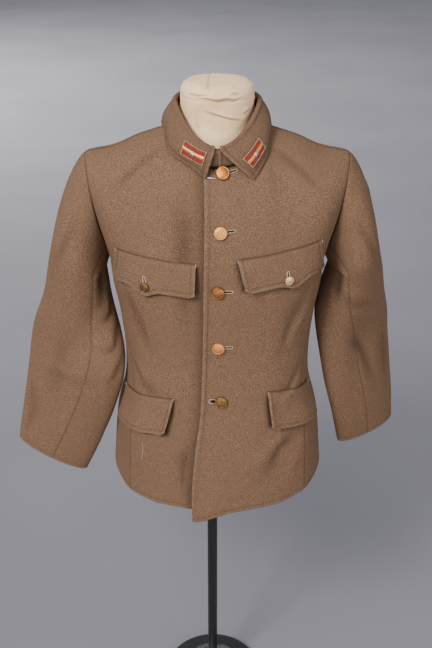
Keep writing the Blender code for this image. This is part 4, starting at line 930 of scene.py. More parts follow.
def dyed(shades, chosen):
    """Linear colours of all shades, moved as the chosen main one differs from its own."""
    change = np.array(chosen) / linear(shades.main)[:3]
    moved = [np.minimum(np.array(linear(code)[:3]) * change, 1.0) for code in shades]
    return type(shades)(*((*values, 1.0) for values in moved))


FINISHES = {}


def finish(name):
    """The material of a finish, made once from the settings."""
    if name in METALS and name not in FINISHES:
        FINISHES[name] = metal_material(name, *METALS[name])
    elif name not in FINISHES:
        FINISHES[name] = MAKERS[name](name)
    return FINISHES[name]


# Metals: bright and dull colour, roughness, how fine the patches are, and the grain's height.
METALS = {
    # Wound metal thread glints in fine grains.
    "twisted gold braid": ("#E6B065", "#B0762F", 0.42, 800.0, 0.6),
    # A worn button's ground is dark in the hollows of its stamping.
    "stamped copper brass": ("#C68250", "#86502C", 0.32, 200.0, 0.10),
    # Its raised parts are rubbed bright.
    "bright copper brass": ("#FBB26C", "#EFA059", 0.40, 160.0, 0.06),
    # Gilt keeps a warm shine with spots where it has gone.
    "gilt stamped brass": ("#E09650", "#A2642E", 0.36, 320.0, 0.45),
    # Rubbed gilt is nearly white where the light falls.
    "pale gilt brass": ("#FBD8A4", "#EABF8C", 0.38, 250.0, 0.10),
    # Tarnish takes the red out of the small flap buttons.
    "dull olive brass": ("#AA8452", "#745630", 0.34, 250.0, 0.12),
    # Polished wire throws small white lights.
    "bent steel wire": ("#F2F1EE", "#CCC9C2", 0.34, 330.0, 0.05),
    # A turned tube shows a long soft light and dark sides.
    "turned steel": ("#8C8C90", "#55555A", 0.34, 80.0, 0.08),
}
MAKERS = {
    "milled wool serge": lambda name: cloth_material(
        name, dyed(BODY_WOOL, colours().cloth), 0.55),
    # The collar is pressed harder, so its nap lies flatter.
    "pressed wool serge": lambda name: cloth_material(
        name, dyed(COLLAR_WOOL, colours().collar), 0.45),
    # Felt has no ribs, so it looks flat and even.
    "dyed wool felt": lambda name: cloth_material(name, dyed(TAB_FELT, colours().tabs), 0.3),
    # Enamel gives a broad grey sheen on black.
    "black enamel": lambda name: enamel_material(name, "#0C0C0E", "#2A2A2E", 0.36),
    # Canvas shows its plain weave, its stains, and dust and painted shade in its seams.
    "cotton canvas": lambda name: canvas_material(name, dyed(COVER_CANVAS, colours().canvas)),
    # Thread has no shine, so each stitch is a matt dash.
    "brown thread": lambda name: matt_material(
        name, linear("#7E6650"), linear("#5E4836"), THREAD_SCALE, 0.75),
    "pale thread": lambda name: matt_material(
        name, linear("#CFBFA6"), linear("#A89276"), THREAD_SCALE, 0.75),
    # A buttonhole's slit is a near-black sheet: painted shadow where the opening is.
    "dark slit": lambda name: matt_material(
        name, linear("#120D0A"), linear("#1C1410"), THREAD_SCALE, 0.9),
    # Paper is even and matt, so the stand's shadow fades softly.
    "matt paper floor": lambda name: matt_material(
        name, *dyed(FLOOR_PAPER, colours().floor), PAPER_SCALE, 0.9),
}


# ---------------------------------------------------------------- mesh building

def lengths(points, axis):
    """Distance of each grid point from the start of its row (axis 1) or column (axis 0)."""
    steps = np.linalg.norm(np.diff(points, axis=axis), axis=-1)
    start = np.zeros_like(np.take(steps, [0], axis=axis))
    return np.concatenate([start, np.cumsum(steps, axis=axis)], axis=axis)


def line_lengths(points):
    """Distance of each point of a line from its start."""
    return lengths(points[:, None], 0)[:, 0]


def spaced(length, step, fine_start, fine_end):
    """Shares along a length, close together at the ends that have an edge to show."""
    start = np.array(EDGE_STEPS) if fine_start else np.zeros(1)
    end = np.array(EDGE_STEPS) if fine_end else np.zeros(1)
    middle = length - start[-1] - end[-1]
    cells = max(2, int(round(middle / step)))
    inner = start[-1] + middle * np.linspace(0, 1, cells + 1)[1:-1]
    return np.concatenate([start, inner, length - end[::-1]]) / length


def face_grid(first, high, wide, flip):
    """Corner numbers of the faces of one grid of points."""
    index = first + np.arange(high * wide).reshape(high, wide)
    corners = np.stack([index[:-1, :-1], index[:-1, 1:], index[1:, 1:], index[1:, :-1]], axis=-1)
    corners = corners.reshape(-1, 4)
    return corners[:, ::-1] if flip else corners


def rim_loop(high, wide):
    """Numbers of a grid's outer points, in order round it."""
    index = np.arange(high * wide).reshape(high, wide)
    return np.concatenate([index[0, :-1], index[:-1, -1], index[-1, :0:-1], index[:0:-1, 0]])


def mesh_object(name, points, faces, material, attributes=(), uv=None):
    """An object from points and faces, smooth, with its point values and cloth map."""
    mesh = bpy.data.meshes.new(name)
    mesh.from_pydata([tuple(p) for p in points], [], [tuple(f) for f in faces])
    mesh.validate()
    if uv is not None:
        layer = mesh.uv_layers.new(name="cloth")
        corners = np.empty(len(mesh.loops), dtype=np.int32)
        mesh.loops.foreach_get("vertex_index", corners)
        layer.data.foreach_set("uv", np.asarray(uv)[corners].astype(np.float32).ravel())
    for label, values in attributes:
        attribute = mesh.attributes.new(label, "FLOAT", "POINT")
        attribute.data.foreach_set("value", np.asarray(values, dtype=np.float32).ravel())
    mesh.shade_smooth()
    mesh.set_sharp_from_angle(angle=math.radians(SHARP_DEGREES))
    mesh.materials.append(material)
    return placed_in_scene(name, mesh)


def placed_in_scene(name, data):
    """A new object in the scene."""
    thing = bpy.data.objects.new(name, data)
    bpy.context.scene.collection.objects.link(thing)
    return thing


def settle(thing, nodes, slot):
    """The piece rides on the stand's body and takes the place of its solids."""
    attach(thing, "root")
    if nodes:
        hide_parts(*nodes)
    return thing


def edge_shift(points, free, sewn):
    """Shift, wear and painted shade along the edges: stitch rows on free ones, sinks at seams."""
    across = lengths(points, 1)
    up = lengths(points, 0)
    away = {"start": across, "end": across[:, -1:] - across,
            "bottom": up, "top": up[-1:] - up}
    shift = np.zeros(points.shape[:2])
    worn = np.zeros(points.shape[:2])
    deep = np.zeros(points.shape[:2])
    for name in free:
        row = hump(away[name] - STITCH_FROM_EDGE, STITCH_SPREAD)
        shift = shift - STITCH_SINK * row
        shift = shift + EDGE_ROLL * hump(away[name] - EDGE_ROLL_PLACE, EDGE_ROLL_SPREAD)
        shift = shift - EDGE_DROP * hump(away[name], EDGE_DROP_SPREAD)
        worn = np.maximum(worn, WEAR_MOST * hump(away[name], WEAR_REACH))
        deep = np.maximum(deep, STITCH_PAINTED_SHADE * row)
    for name, dark in sewn.items():
        shift = shift - SEAM_SINK * hump(away[name], SEAM_SPREAD) * dark
        # a line of painted shade along the seam
        deep = np.maximum(deep, dark * hump(away[name], SEAM_LINE))
    return shift, worn, deep


def shell(name, outer, normals, thickness, material, free=(), sewn=NO_SEAM, shade_and_dust=None):
    """A cloth shell between an outer grid and one a wall further in, with a rounded rim."""
    shift, worn, deep = edge_shift(outer, free, sewn)
    uv = np.stack([lengths(outer, 1), lengths(outer, 0)], axis=-1)
    outer = outer + normals * shift[..., None]
    inner = outer - normals * thickness
    high, wide = outer.shape[:2]
    count = high * wide
    loop = rim_loop(high, wide)
    middle = (outer + inner).reshape(-1, 3)[loop] / 2
    following = np.roll(middle, -1, axis=0) - np.roll(middle, 1, axis=0)
    past = unit(np.cross(following, normals.reshape(-1, 3)[loop]))
    bulge = ROLL_OUT_EDGE if free else 0.0
    middle = middle + past * bulge
    points = np.concatenate([outer.reshape(-1, 3), inner.reshape(-1, 3), middle])
    ring = 2 * count + np.arange(len(loop))
    after = np.roll(ring, -1)
    top = np.stack([loop, ring, after, np.roll(loop, -1)], axis=-1)
    low = np.stack([ring, loop + count, np.roll(loop, -1) + count, after], axis=-1)
    faces = np.concatenate([face_grid(0, high, wide, False),
                            face_grid(count, high, wide, True), top, low])
    facing = np.cross(outer[1, 2] - outer[1, 1], outer[2, 1] - outer[1, 1])
    if np.dot(facing, normals[1, 1]) < 0:
        faces = faces[:, ::-1]
    if shade_and_dust is not None:
        deep = np.maximum(deep, shade_and_dust)
    worn, deep, uv = worn.ravel(), deep.ravel(), uv.reshape(-1, 2)
    # deep: painted shade, with some dust, at seams, stitch rows, creases and on the inner face
    attributes = (("worn", np.concatenate([worn, worn * 0, worn[loop]])),
                  ("deep", np.concatenate([deep, deep * 0 + INSIDE_PAINTED_SHADE, deep[loop]])))
    thing = mesh_object(name, points, faces, material, attributes,
                        np.concatenate([uv, uv, uv[loop]]))
    return thing, outer


def tube(first, rings, count):
    """Faces of a tube through rings of points, numbered from a first one on."""
    return [(low + k, low + (k + 1) % count, low + count + (k + 1) % count, low + count + k)
            for low in range(first, first + (rings - 1) * count, count) for k in range(count)]


def lathe(name, profile, point, axis, sides, material):
    """A piece turned round an axis from (radius, height) points, closed on the axis."""
    axis = unit(np.array(axis, dtype=float))
    helper = np.array([1.0, 0.0, 0.0]) if abs(axis[0]) < 0.9 else np.array([0.0, 1.0, 0.0])
    first = unit(np.cross(axis, helper))
    second = np.cross(axis, first)
    turn = np.arange(sides) * 2 * np.pi / sides
    ring = np.cos(turn)[:, None] * first + np.sin(turn)[:, None] * second
    profile = [(max(radius, AXIS_RADIUS), height) for radius, height in profile]
    points = np.concatenate([point + axis * height + radius * ring for radius, height in profile])
    last = (len(profile) - 1) * sides
    faces = tube(0, len(profile), sides)
    faces += [tuple(range(sides))[::-1], tuple(range(last, last + sides))]
    return mesh_object(name, points, faces, material)


def thread_row(name, points, normals, material, pitch=STITCH, fill=0.72, half=THREAD, lift=0.0):
    """Stitches along a line on the cloth: each is a short bulging bar of thread."""
    along = line_lengths(points)
    count = max(1, int(along[-1] / pitch))
    shares, heights, widths = np.array(STITCH_SHAPE).T
    heights = lift + half * heights
    widths = half * widths
    verts = []
    faces = []
    for k in range(count):
        places = (k + 0.5 + fill * shares) * along[-1] / count
        spots, ups = (xyz(*(np.interp(places, along, line[:, c]) for c in range(3)))
                      for line in (points, normals))
        ups = unit(ups)
        sides = unit(np.cross(ups, unit(spots[-1] - spots[0])))
        first = len(verts)
        for spot, up, side, height, width in zip(spots, ups, sides, heights, widths):
            middle = spot + up * height
            verts += [middle + side * width, middle + up * width, middle - side * width,
                      middle - up * width]
        faces += tube(first, len(spots), 4)
        faces += [tuple(range(first, first + 4))[::-1], tuple(range(first + 16, first + 20))]
    return mesh_object(name, verts, faces, material)


# ---------------------------------------------------------------- panels

def side_seam_angle(level):
    """Angle of the side seam and, above it, of the armhole edge."""
    return np.radians(np.where(level >= 1.0, 90.0, smooth(SIDE_SEAM, "degrees", level)))


def armhole_rise(turn):
    """Share of the way up the armhole for a turn round it."""
    up = (1 + np.cos(turn)) / 2
    return np.arcsin(np.clip(up * math.sin(SHOULDER_TURN), 0, 1)) / SHOULDER_TURN


def armhole(turn, side):
    """Point of the armhole edge: turn 0 at the shoulder tip, + towards the front."""
    rise = armhole_rise(turn)
    angle = np.full(np.shape(turn), side * np.pi / 2)
    front = body(angle, 1 + rise, back=False)
    back = body(angle, 1 + rise, back=True)
    return np.where((turn >= 0)[..., None], front, back)


def arm_axes(place, side):
    """Middle of a sleeve section, its across and forward directions and half sizes."""
    out, y, height, half_width, half_depth, tilt, twist = columns(ARMS[side], place)
    tilt = np.radians(tilt)
    twist = np.radians(twist)[..., None]
    across = xyz(side * np.cos(tilt), 0.0, np.sin(tilt))
    forward = np.array([0.0, -1.0, 0.0])
    turned = across * np.cos(twist) + forward * np.sin(twist)
    forward = forward * np.cos(twist) - across * np.sin(twist)
    return xyz(CENTRE_X + side * out, y, height), turned, forward, half_width, half_depth


def arm_ring(turn, place, side):
    """Oval section of the hanging sleeve."""
    middle, across, forward, wide, deep = arm_axes(place, side)
    return (middle + across * (wide * np.cos(turn))[..., None]
            + forward * (deep * np.sin(turn))[..., None])


def sleeve_head(turn, place, side):
    """Sleeve between the armhole edge and the upper arm, on a curve for each turn."""
    start = armhole(turn, side)
    one = np.ones(np.shape(turn))
    end = arm_ring(turn, one, side)
    later = arm_ring(turn, one + 5 * FIRST_PLACE, side)
    reach = np.linalg.norm(end - start, axis=-1)[..., None]
    upper = ((1 + np.cos(turn)) / 2)[..., None]
    leave = np.concatenate([side * (LEAVE_OUT[0] + LEAVE_OUT[1] * upper), 0 * upper,
                            -(LEAVE_DOWN[0] + LEAVE_DOWN[1] * upper)], axis=-1)
    arrive = unit(later - end)
    u = place[..., None]
    return ((1 + 2 * u) * (1 - u) ** 2 * start + u * (1 - u) ** 2 * reach * leave
            + u * u * (3 - 2 * u) * end + u * u * (u - 1) * reach * arrive)


HEAD_PUCKERS = 22  # gathers round the sleeve head, where it is eased in
HEAD_PUCKER_HEIGHT = 0.0006
PUCKER_PEAK = 0.08  # place where they are highest,
PUCKER_FADE = 0.25  # and over how much more they fade
HEAD_FREE = 0.3  # from this place on the cloth hangs free
SLEEVE_SCALE = (0.0012, 0.39)  # metres for a degree of turn, and for one place


def sleeve(turn, place, side):
    """Outer face of a sleeve: place 0 at the armhole, 1 upper arm, 2 cuff."""
    turn, place = np.broadcast_arrays(turn, place)
    turn = wrapped(turn, np.pi)
    head = sleeve_head(turn, np.minimum(place, 1.0), side)
    arm = arm_ring(turn, np.maximum(place, 1.0), side)
    points = np.where((place < 1.0)[..., None], head, arm)
    degrees = np.degrees(turn)
    shift = fold_height(SLEEVE_FOLDS[side], degrees, place)
    shift = shift + crease_height(SLEEVE_CREASES[side], degrees, place, SLEEVE_SCALE)
    free = ease(place / HEAD_FREE)
    shift = shift + swell(points) * free
    gather = np.cos(turn * HEAD_PUCKERS) * HEAD_PUCKER_HEIGHT * (np.cos(turn) > 0)
    gather = gather * ease(place / PUCKER_PEAK) * (1 - ease((place - PUCKER_PEAK) / PUCKER_FADE))
    shift = shift * free + gather
    across, forward = arm_axes(np.maximum(place, 1.0), side)[1:3]
    out = across * np.cos(turn)[..., None] + forward * np.sin(turn)[..., None]
    return points + out * shift[..., None]


def neckline(turn):
    """Neckline of the body, round the neck from the front."""
    away = np.abs(turn)
    side = np.where(turn < 0, -1.0, 1.0)
    front = top_line(side * np.minimum(away, np.pi / 2) / (np.pi / 2) * NECK_ANGLE, False)
    from_back = np.maximum(np.pi - away, 0) / (np.pi / 2) * NECK_ANGLE
    back = top_line(side * (np.pi - np.minimum(from_back, NECK_ANGLE)), True)
    return np.where((away <= np.pi / 2)[..., None], front, back)


def fold_line(turn):
    """Top of the collar stand, where the leaf turns over."""
    ahead = np.cos(turn)
    depth = np.where(ahead > 0, FOLD_FRONT, FOLD_BACK)
    height = FOLD_SIDE_Z + np.where(ahead > 0, (FOLD_FRONT_Z - FOLD_SIDE_Z) * ahead ** 2,
                                    (FOLD_BACK_Z - FOLD_SIDE_Z) * ahead ** 2)
    return xyz(CENTRE_X + FOLD_HALF * np.sin(turn), NECK_Y - depth * ahead, height)


def stand_surface(turn, share):
    """Outer face of the collar stand from the neckline (0) to the fold (1)."""
    turn, share = np.broadcast_arrays(turn, share)
    low = neckline(turn) + np.array([0.0, 0.0, STAND_GAP])
    high = fold_line(turn) - np.array([0.0, 0.0, STAND_GAP])
    return low + (high - low) * share[..., None]


def leaf_column(column, turn):
    """A column of the leaf's edge table, on the turn's own side."""
    degrees = np.degrees(turn)
    return np.where(turn < 0, smooth(LEAF_EDGE[RIGHT], column, degrees),
                    smooth(LEAF_EDGE[LEFT], column, degrees))


def leaf_edge(turn):
    """Lower edge of the collar leaf, lying on the body."""
    away = np.radians(leaf_column("away", turn))
    behind = np.abs(turn) > np.pi / 2
    round_body = np.where(behind, np.sign(turn) * np.pi - away, away)
    level = leaf_column("level", turn)
    lift = leaf_column("lift", turn)[..., None]
    front = body(round_body, level) + face_normals(body, round_body, level) * lift
    back = back_surface(round_body, level)
    back = back + face_normals(back_surface, round_body, level) * lift
    return np.where(behind[..., None], back, front)


def leaf_surface(turn, share, radius=ROLL_OUT):
    """Outer face of the leaf: share 0 inside the neck, over the fold, 1 at its edge."""
    turn, share = np.broadcast_arrays(turn, share)
    out = outward(turn)
    up = np.array([0.0, 0.0, 1.0])
    core = fold_line(turn) - out * WALL / 2
    roll = ROLL_START + (ROLL_END - ROLL_START) * np.clip(share / ROLL_SHARE, 0, 1)
    rolled = core + radius * (np.cos(roll)[..., None] * out + np.sin(roll)[..., None] * up)
    down = np.clip((share - ROLL_SHARE) / (1 - ROLL_SHARE), 0, None)[..., None]
    edge = leaf_edge(turn) + out * (radius - ROLL_OUT)
    end_roll = core + radius * (math.cos(ROLL_END) * out + math.sin(ROLL_END) * up)
    fallen = end_roll + (edge - end_roll) * down
    fallen = fallen + out * LEAF_BELLY * np.sin(np.pi * down)
    return np.where((share <= ROLL_SHARE)[..., None], rolled, fallen)


# ---------------------------------------------------------------- pieces

# Widths of a panel's parts before and past the neck point, for the spacing of its points.
FRONT_WIDTH = 0.100
SIDE_WIDTH = 0.165
BACK_WIDTH = 0.150
LINE_SAMPLES = 81  # points along a line that is measured
FRONT_MEASURED = math.radians(45)  # where the line up a panel is measured
BACK_MEASURED = math.radians(135)


def row_levels(surface, angle, step):
    """Levels of a panel's rows, spaced by length up it and close together at both ends."""
    levels = np.linspace(0, TOP_LEVEL, LINE_SAMPLES)
    rise = line_lengths(surface(np.full(levels.shape, angle), levels))
    return np.interp(spaced(rise[-1], step, True, True) * rise[-1], rise, levels)


def shoulder_mitre(normals, angle):
    """Stand the normals of the top row upright along the shoulder seam."""
    away = np.minimum(np.abs(angle[-1]), np.abs(2 * np.pi - np.abs(angle[-1])))
    away = np.minimum(away, np.pi - away)
    normals[-1, away >= NECK_ANGLE - ANGLE_SLACK, 1] = 0.0
    return unit(normals)


def front_grid(side):
    """Angles of a front's points, from its front edge to the side seam, and its rows' levels."""
    levels = row_levels(front_surface(side), side * FRONT_MEASURED, BODY_STEP)
    table = LAP_EDGE if side == LEFT else UNDERLAP_EDGE
    start = np.radians(smooth(table, "degrees", levels))[:, None]
    seam = side_seam_angle(levels)[:, None]
    middle = spaced(FRONT_WIDTH, BODY_STEP, True, False)[:-1]
    outer = spaced(SIDE_WIDTH, BODY_STEP, False, True)
    angles = np.concatenate([start + (NECK_ANGLE - start) * middle,
                             NECK_ANGLE + (seam - NECK_ANGLE) * outer], axis=1)
    return side * angles, levels


def back_grid():
    """Angles of the back's points, from the left side seam round to the right one, and levels."""
    levels = row_levels(back_surface, BACK_MEASURED, BODY_STEP)
    seam = side_seam_angle(levels)[:, None]
    outer = spaced(SIDE_WIDTH, BODY_STEP, True, False)
    middle = spaced(BACK_WIDTH, BODY_STEP, False, False)[1:-1]
    past_neck = np.pi - NECK_ANGLE
    first = seam + (past_neck - seam) * outer
    between = np.broadcast_to(past_neck + 2 * NECK_ANGLE * middle, (len(levels), len(middle)))
    angles = np.concatenate([first, between, 2 * np.pi - first[:, ::-1]], axis=1)
    return angles, levels


def round_back(angle, level):
    """The back's surface for angles that run past a half turn."""
    return back_surface(np.where(angle > np.pi, angle - 2 * np.pi, angle), level)


def crease_dust_and_shade(creased):
    """Darkness of the cloth in its creases: dust, and painted shade."""
    return np.clip(-creased / DUST_AND_SHADE_DEPTH, 0.0, DUST_AND_SHADE_MOST)


def painted_shadow_beside_edges(side, angles, levels, heights):
    """Painted shadow on a front close to the flaps' edges, and on the right to the lap's edge."""
    degrees = side * np.degrees(angles)
    dark = np.zeros(angles.shape)
    for flap in FLAPS:
        if flap.side != side:
            continue
        share = np.clip((degrees - flap.inner) / (flap.outer - flap.inner), 0, 1)
        top = flap_top(flap, share)
        drop = flap_drop(flap, share)
        down = np.clip((top - heights) / drop, 0, 1)
        inner = flap.inner + flap.slant * down
        aside = np.maximum(np.maximum(inner - degrees, degrees - flap.outer), 0)
        below = np.maximum(top - drop - heights, 0)
        away = np.hypot(aside * BODY_SCALE[0], below)
        near = FLAP_PAINTED_SHADOW[0] * hump(away, FLAP_PAINTED_SHADOW[1]) * ease(down / FLAP_PAINTED_SHADOW_FADE)
        dark = np.maximum(dark, near)
    if side == RIGHT:
        lap = -smooth(LAP_EDGE, "degrees", levels)
        away = np.maximum(degrees - lap, 0) * BODY_SCALE[0]
        dark = np.maximum(dark, LAP_PAINTED_SHADOW[0] * hump(away, LAP_PAINTED_SHADOW[1]))
    return dark


def cloth(node, points, normals, free=(), sewn=NO_SEAM, shade_and_dust=None, cut=None, wall=None,
          wool="milled wool serge", slot="wool_cloth", held="hung", rests_on="form_cover"):
    """A cloth piece in place of its solid."""
    cut = CUTS[cut or node]
    thing, points = shell("cloth_" + node, points, normals, wall or settings().wall,
                          finish(wool), free, sewn, shade_and_dust)
    settle(thing, [node], slot)
    return points


def body_panel(node, surface, grid, free, sewn, cut, side=None):
    """One panel of the body: dust and painted shade in creases, painted shadow beside flaps."""
    angles, levels = grid
    levels = np.broadcast_to(levels[:, None], angles.shape)
    normals = shoulder_mitre(face_normals(surface, angles, levels), angles)
    creased = crease_height(BODY_CREASES, np.degrees(angles), levels, BODY_SCALE)
    points = surface(angles, levels)
    shade_and_dust = crease_dust_and_shade(creased)
    if side is not None:
        shade_and_dust = np.maximum(shade_and_dust, painted_shadow_beside_edges(side, angles, levels, points[..., 2]))
    return cloth(node, points, normals, free, sewn, shade_and_dust, cut), normals


def sewn_row(name, points, normals, slot="wool_cloth", thread="brown thread", **values):
    """A row of stitches that rides with the cloth it is sewn through."""
    return settle(thread_row(name, points, normals, finish(thread), **values), [], slot)


def sewn_lines(points, normals, lines, **values):
    """Rows of stitches along named lines of a panel's grid of points."""
    for name, line in lines.items():
        sewn_row(name, points[line], normals[line], **values)


STITCH_COLUMN = EDGE_STEPS.index(STITCH_FROM_EDGE)
PAST_STITCHES = slice(STITCH_COLUMN, None)
BETWEEN_STITCHES = slice(STITCH_COLUMN, -STITCH_COLUMN)


def build_body():
    """Fronts and back with their edge stitching."""
    for side, label in SIDE_NAMES.items():
        points, normals = body_panel("front_" + label, front_surface(side), front_grid(side),
                                     ("start", "bottom"), {"end": FLAT_SEAM, "top": DEEP_SEAM},
                                     "front", side)
        lines = {"stitches_hem_" + label: (STITCH_COLUMN, PAST_STITCHES)}
        if side == LEFT:
            lines["stitches_front_edge"] = (slice(STITCH_COLUMN, -2), STITCH_COLUMN)
        sewn_lines(points, normals, lines)
    points, normals = body_panel("back", round_back, back_grid(), ("bottom",),
                                 {"start": FLAT_SEAM, "end": FLAT_SEAM, "top": DEEP_SEAM}, "back")
    sewn_lines(points, normals, {"stitches_hem_back": STITCH_COLUMN})


# Degrees round from the front, and height, of points along the loose thread.
LOOSE_THREAD = ((-40.5, 0.667), (-39.6, 0.655), (-39.8, 0.640), (-41.0, 0.630))


def build_loose_thread():
    """A pale end of thread that lies on the right front."""
    spots = [spot_on(under_front, degrees, height) for degrees, height in LOOSE_THREAD]
    points, normals = (np.array(column) for column in zip(*spots))
    sewn_row("loose_thread", points, normals, thread="pale thread",
             pitch=0.0045, fill=1.0, half=0.0003, lift=0.0002)


UPPER_WIDTH = 0.200  # widths of the sleeve's two parts, for the spacing of their points
UNDER_WIDTH = 0.130


def build_sleeves():
    """Upper and under sleeves with the stitching round their cuffs."""
    for side, label in SIDE_NAMES.items():
        def surface(turn, place, side=side):
            return sleeve(turn, place, side)

        places = row_levels(surface, 0.0, SLEEVE_STEP)
        front, back = (np.radians(seam)[:, None] for seam in columns(SLEEVE_SEAMS[side], places))
        spans = (("upper", back, front, UPPER_WIDTH),
                 ("under", front, back + 2 * np.pi, UNDER_WIDTH))
        for part, start, end, width in spans:
            share = spaced(width, SLEEVE_STEP, True, True)
            turns = start + (end - start) * share
            up = np.broadcast_to(places[:, None], turns.shape)
            normals = side * face_normals(surface, turns, np.maximum(up, FIRST_PLACE))
            creased = crease_height(SLEEVE_CREASES[side], np.degrees(turns), up, SLEEVE_SCALE)
            name = part + "_" + label
            points = cloth("sleeve_" + name, surface(turns, up), normals, ("top",),
                           {"start": FLAT_SEAM, "end": FLAT_SEAM, "bottom": DEEP_SEAM},
                           crease_dust_and_shade(creased), "sleeve_" + part)
            sewn_lines(points, normals, {"stitches_cuff_" + name: -1 - STITCH_COLUMN})


def round_neck(surface):
    """A collar surface for turns that run past a half turn."""
    return lambda turn, share: surface(wrapped(turn, np.pi), share)


STAND_FRONT_DEGREES = 0.8  # the stand's ends nearly meet behind the leaves
STAND_ROWS = 9
ROLL_ROWS = 12  # rows of points over the fold of the leaf
NECK_LENGTH = 0.46  # length round the collar, for the spacing of its points
LEAF_FALL = 0.052  # and depth of the leaf below its fold
LEAF_NOISE = (0.030, 5)  # size and seed of the leaf's unevenness
LEAF_UNEVEN = 0.0006
LEAF_FREE = 0.3  # share of the leaf over which it starts below the fold


def build_collar():
    """Collar stand and turned-down leaf, with the leaf's stitched edge."""
    start = math.radians(COLLAR_FRONT_DEGREES)
    shares = spaced(NECK_LENGTH, COLLAR_STEP, True, True)
    turns = start + (2 * np.pi - 2 * start) * shares
    stand = round_neck(stand_surface)
    meeting = math.radians(STAND_FRONT_DEGREES)
    across, up = np.meshgrid(meeting + (2 * np.pi - 2 * meeting) * shares,
                             np.linspace(0, 1, STAND_ROWS))
    cloth("collar_stand", stand(across, up), outward(across), ("start", "end"),
          {"bottom": DEEP_SEAM, "top": DEEP_SEAM}, wool="pressed wool serge", slot="collar_wool")

    leaf = round_neck(leaf_surface)
    rolled = np.linspace(0, ROLL_SHARE, ROLL_ROWS)
    fallen = ROLL_SHARE + (1 - ROLL_SHARE) * spaced(LEAF_FALL, COLLAR_STEP, False, True)[1:]
    across, up = np.meshgrid(turns, np.concatenate([rolled, fallen]))
    points = leaf(across, up)
    normals = face_normals(leaf, across, up)
    core = fold_line(across) - outward(across) * WALL / 2
    normals = normals * np.sign(np.sum(normals * (points - core), axis=-1, keepdims=True))
    uneven = soft_noise(points, *LEAF_NOISE) * LEAF_UNEVEN * ease((up - ROLL_SHARE) / LEAF_FREE)
    points = points + normals * uneven[..., None]
    points = cloth("collar_leaf", points, normals, ("start", "end", "top"),
                   wool="pressed wool serge", slot="collar_wool", held="folded",
                   rests_on="cloth_back")
    below_roll = slice(ROLL_ROWS, -STITCH_COLUMN)
    sewn_lines(points, normals, {"stitches_leaf_edge": (-1 - STITCH_COLUMN, BETWEEN_STITCHES),
                                 "stitches_leaf_left": (below_roll, STITCH_COLUMN),
                                 "stitches_leaf_right": (below_roll, -1 - STITCH_COLUMN)},
               slot="collar_wool", pitch=0.0028)


def build_hook():
    """Bent wire bar that closes the collar."""
    angle = np.array(math.radians(HOOK_DEGREES))
    level = level_at(angle, HOOK_HEIGHT, over_front)
    middle = over_front(angle, level)
    normal = face_normals(over_front, angle, level)
    along = unit(over_front(angle + SMALL_STEP, level) - middle)
    start = middle + normal * (HOOK_RADIUS + SEAM_GAP) - along * HOOK_LENGTH / 2
    soft = HOOK_RADIUS * HOOK_SOFT
    profile = ((0.0, 0.0), (HOOK_RADIUS - soft, 0.0), (HOOK_RADIUS, soft),
               (HOOK_RADIUS, HOOK_LENGTH - soft), (HOOK_RADIUS - soft, HOOK_LENGTH),
               (0.0, HOOK_LENGTH))
    settle(lathe("hook_bar", profile, start, along, HOOK_SIDES, finish("bent steel wire")),
           ["collar_hook"], "hook_steel")


FLAP_CURL = 0.0055  # the flap's inner edge stands this much further off
FLAP_HANG = 0.0028  # and so does its whole lower edge
CURL_DOWN = 0.35  # share of the drop over which the curl starts
CURL_SHARE = 0.10  # share of the width that curls
CORNER_SHARE = 0.09  # share of the width that each rounded corner takes


def flap_top(flap, share):
    """Height of a flap's top edge at a share of its width."""
    return flap.inner_height + (flap.outer_height - flap.inner_height) * share


def flap_drop(flap, share):
    """Drop of a flap's lower edge: rounded corners, and a point between two hollows."""
    drop = np.full(np.shape(share), flap.drop)
    for scallop in SCALLOPS:
        drop = drop + flap.point * scallop.drop * hump(share - scallop.share, scallop.width)
    end = np.minimum(share, 1 - share)
    return drop - CORNER_ROUND * (1 - ease(end / CORNER_SHARE)) ** 2


def build_flaps():
    """Four pocket flaps with stitched edges and a bar tack at each end."""
    for flap in FLAPS:
        surface = front_surface(flap.side)
        width = (flap.outer - flap.inner) * BODY_SCALE[0]
        share, down = np.meshgrid(spaced(width, FLAP_STEP, True, True),
                                  1 - spaced(flap.drop, FLAP_STEP, True, False))
        heights = flap_top(flap, share) - flap_drop(flap, share) * down
        degrees = flap.inner + (flap.outer - flap.inner) * share
        degrees = degrees + flap.slant * down * (1 - share)
        angles = flap.side * np.radians(degrees)
        levels = level_at(angles, heights)
        normals = face_normals(surface, angles, levels)
        lift = LAID_GAP + flap.lift * down ** 2 + FLAP_WALL
        lift = lift + FLAP_CURL * ease(down / CURL_DOWN) * hump(share, CURL_SHARE)
        lift = lift + FLAP_HANG * down ** 2
        points = surface(angles, levels) + normals * lift[..., None]
        label = "_" + SIDE_NAMES[flap.side]
        points = cloth(flap.name, points, normals, ("start", "end", "bottom"),
                       {"top": FLAP_SEAM}, cut=flap.name.removesuffix(label), wall=FLAP_WALL,
                       rests_on="cloth_front" + label)
        row = "stitches_" + flap.name
        side = slice(STITCH_COLUMN, -1)
        sewn_lines(points, normals, {row + "_edge": (STITCH_COLUMN, BETWEEN_STITCHES),
                                     row + "_inner": (side, STITCH_COLUMN),
                                     row + "_outer": (side, -1 - STITCH_COLUMN)})
        tack = "bar_tack_" + flap.name
        sewn_lines(points, normals, {tack + "_inner": (slice(-3, None), 0),
                                     tack + "_outer": (slice(-3, None), -1)},
                   thread="pale thread", pitch=0.002, half=0.0005)


SHANK_SHARE = 0.25  # radius of the shank, as a share of the button's
BUTTON_LEAST = 0.7  # thickness of the very smallest button, as a share of a front button's
# Half section above the shank: share of the radius, and share of the thickness.
BUTTON_SHAPE = ((0.25, 0.0), (0.90, 0.0), (0.975, 0.15), (1.0, 0.35), (0.985, 0.58), (0.94, 0.74),
                (0.88, 0.74), (0.84, 0.70), (0.79, 0.77), (0.60, 0.89), (0.35, 0.97), (0.0, 1.0))


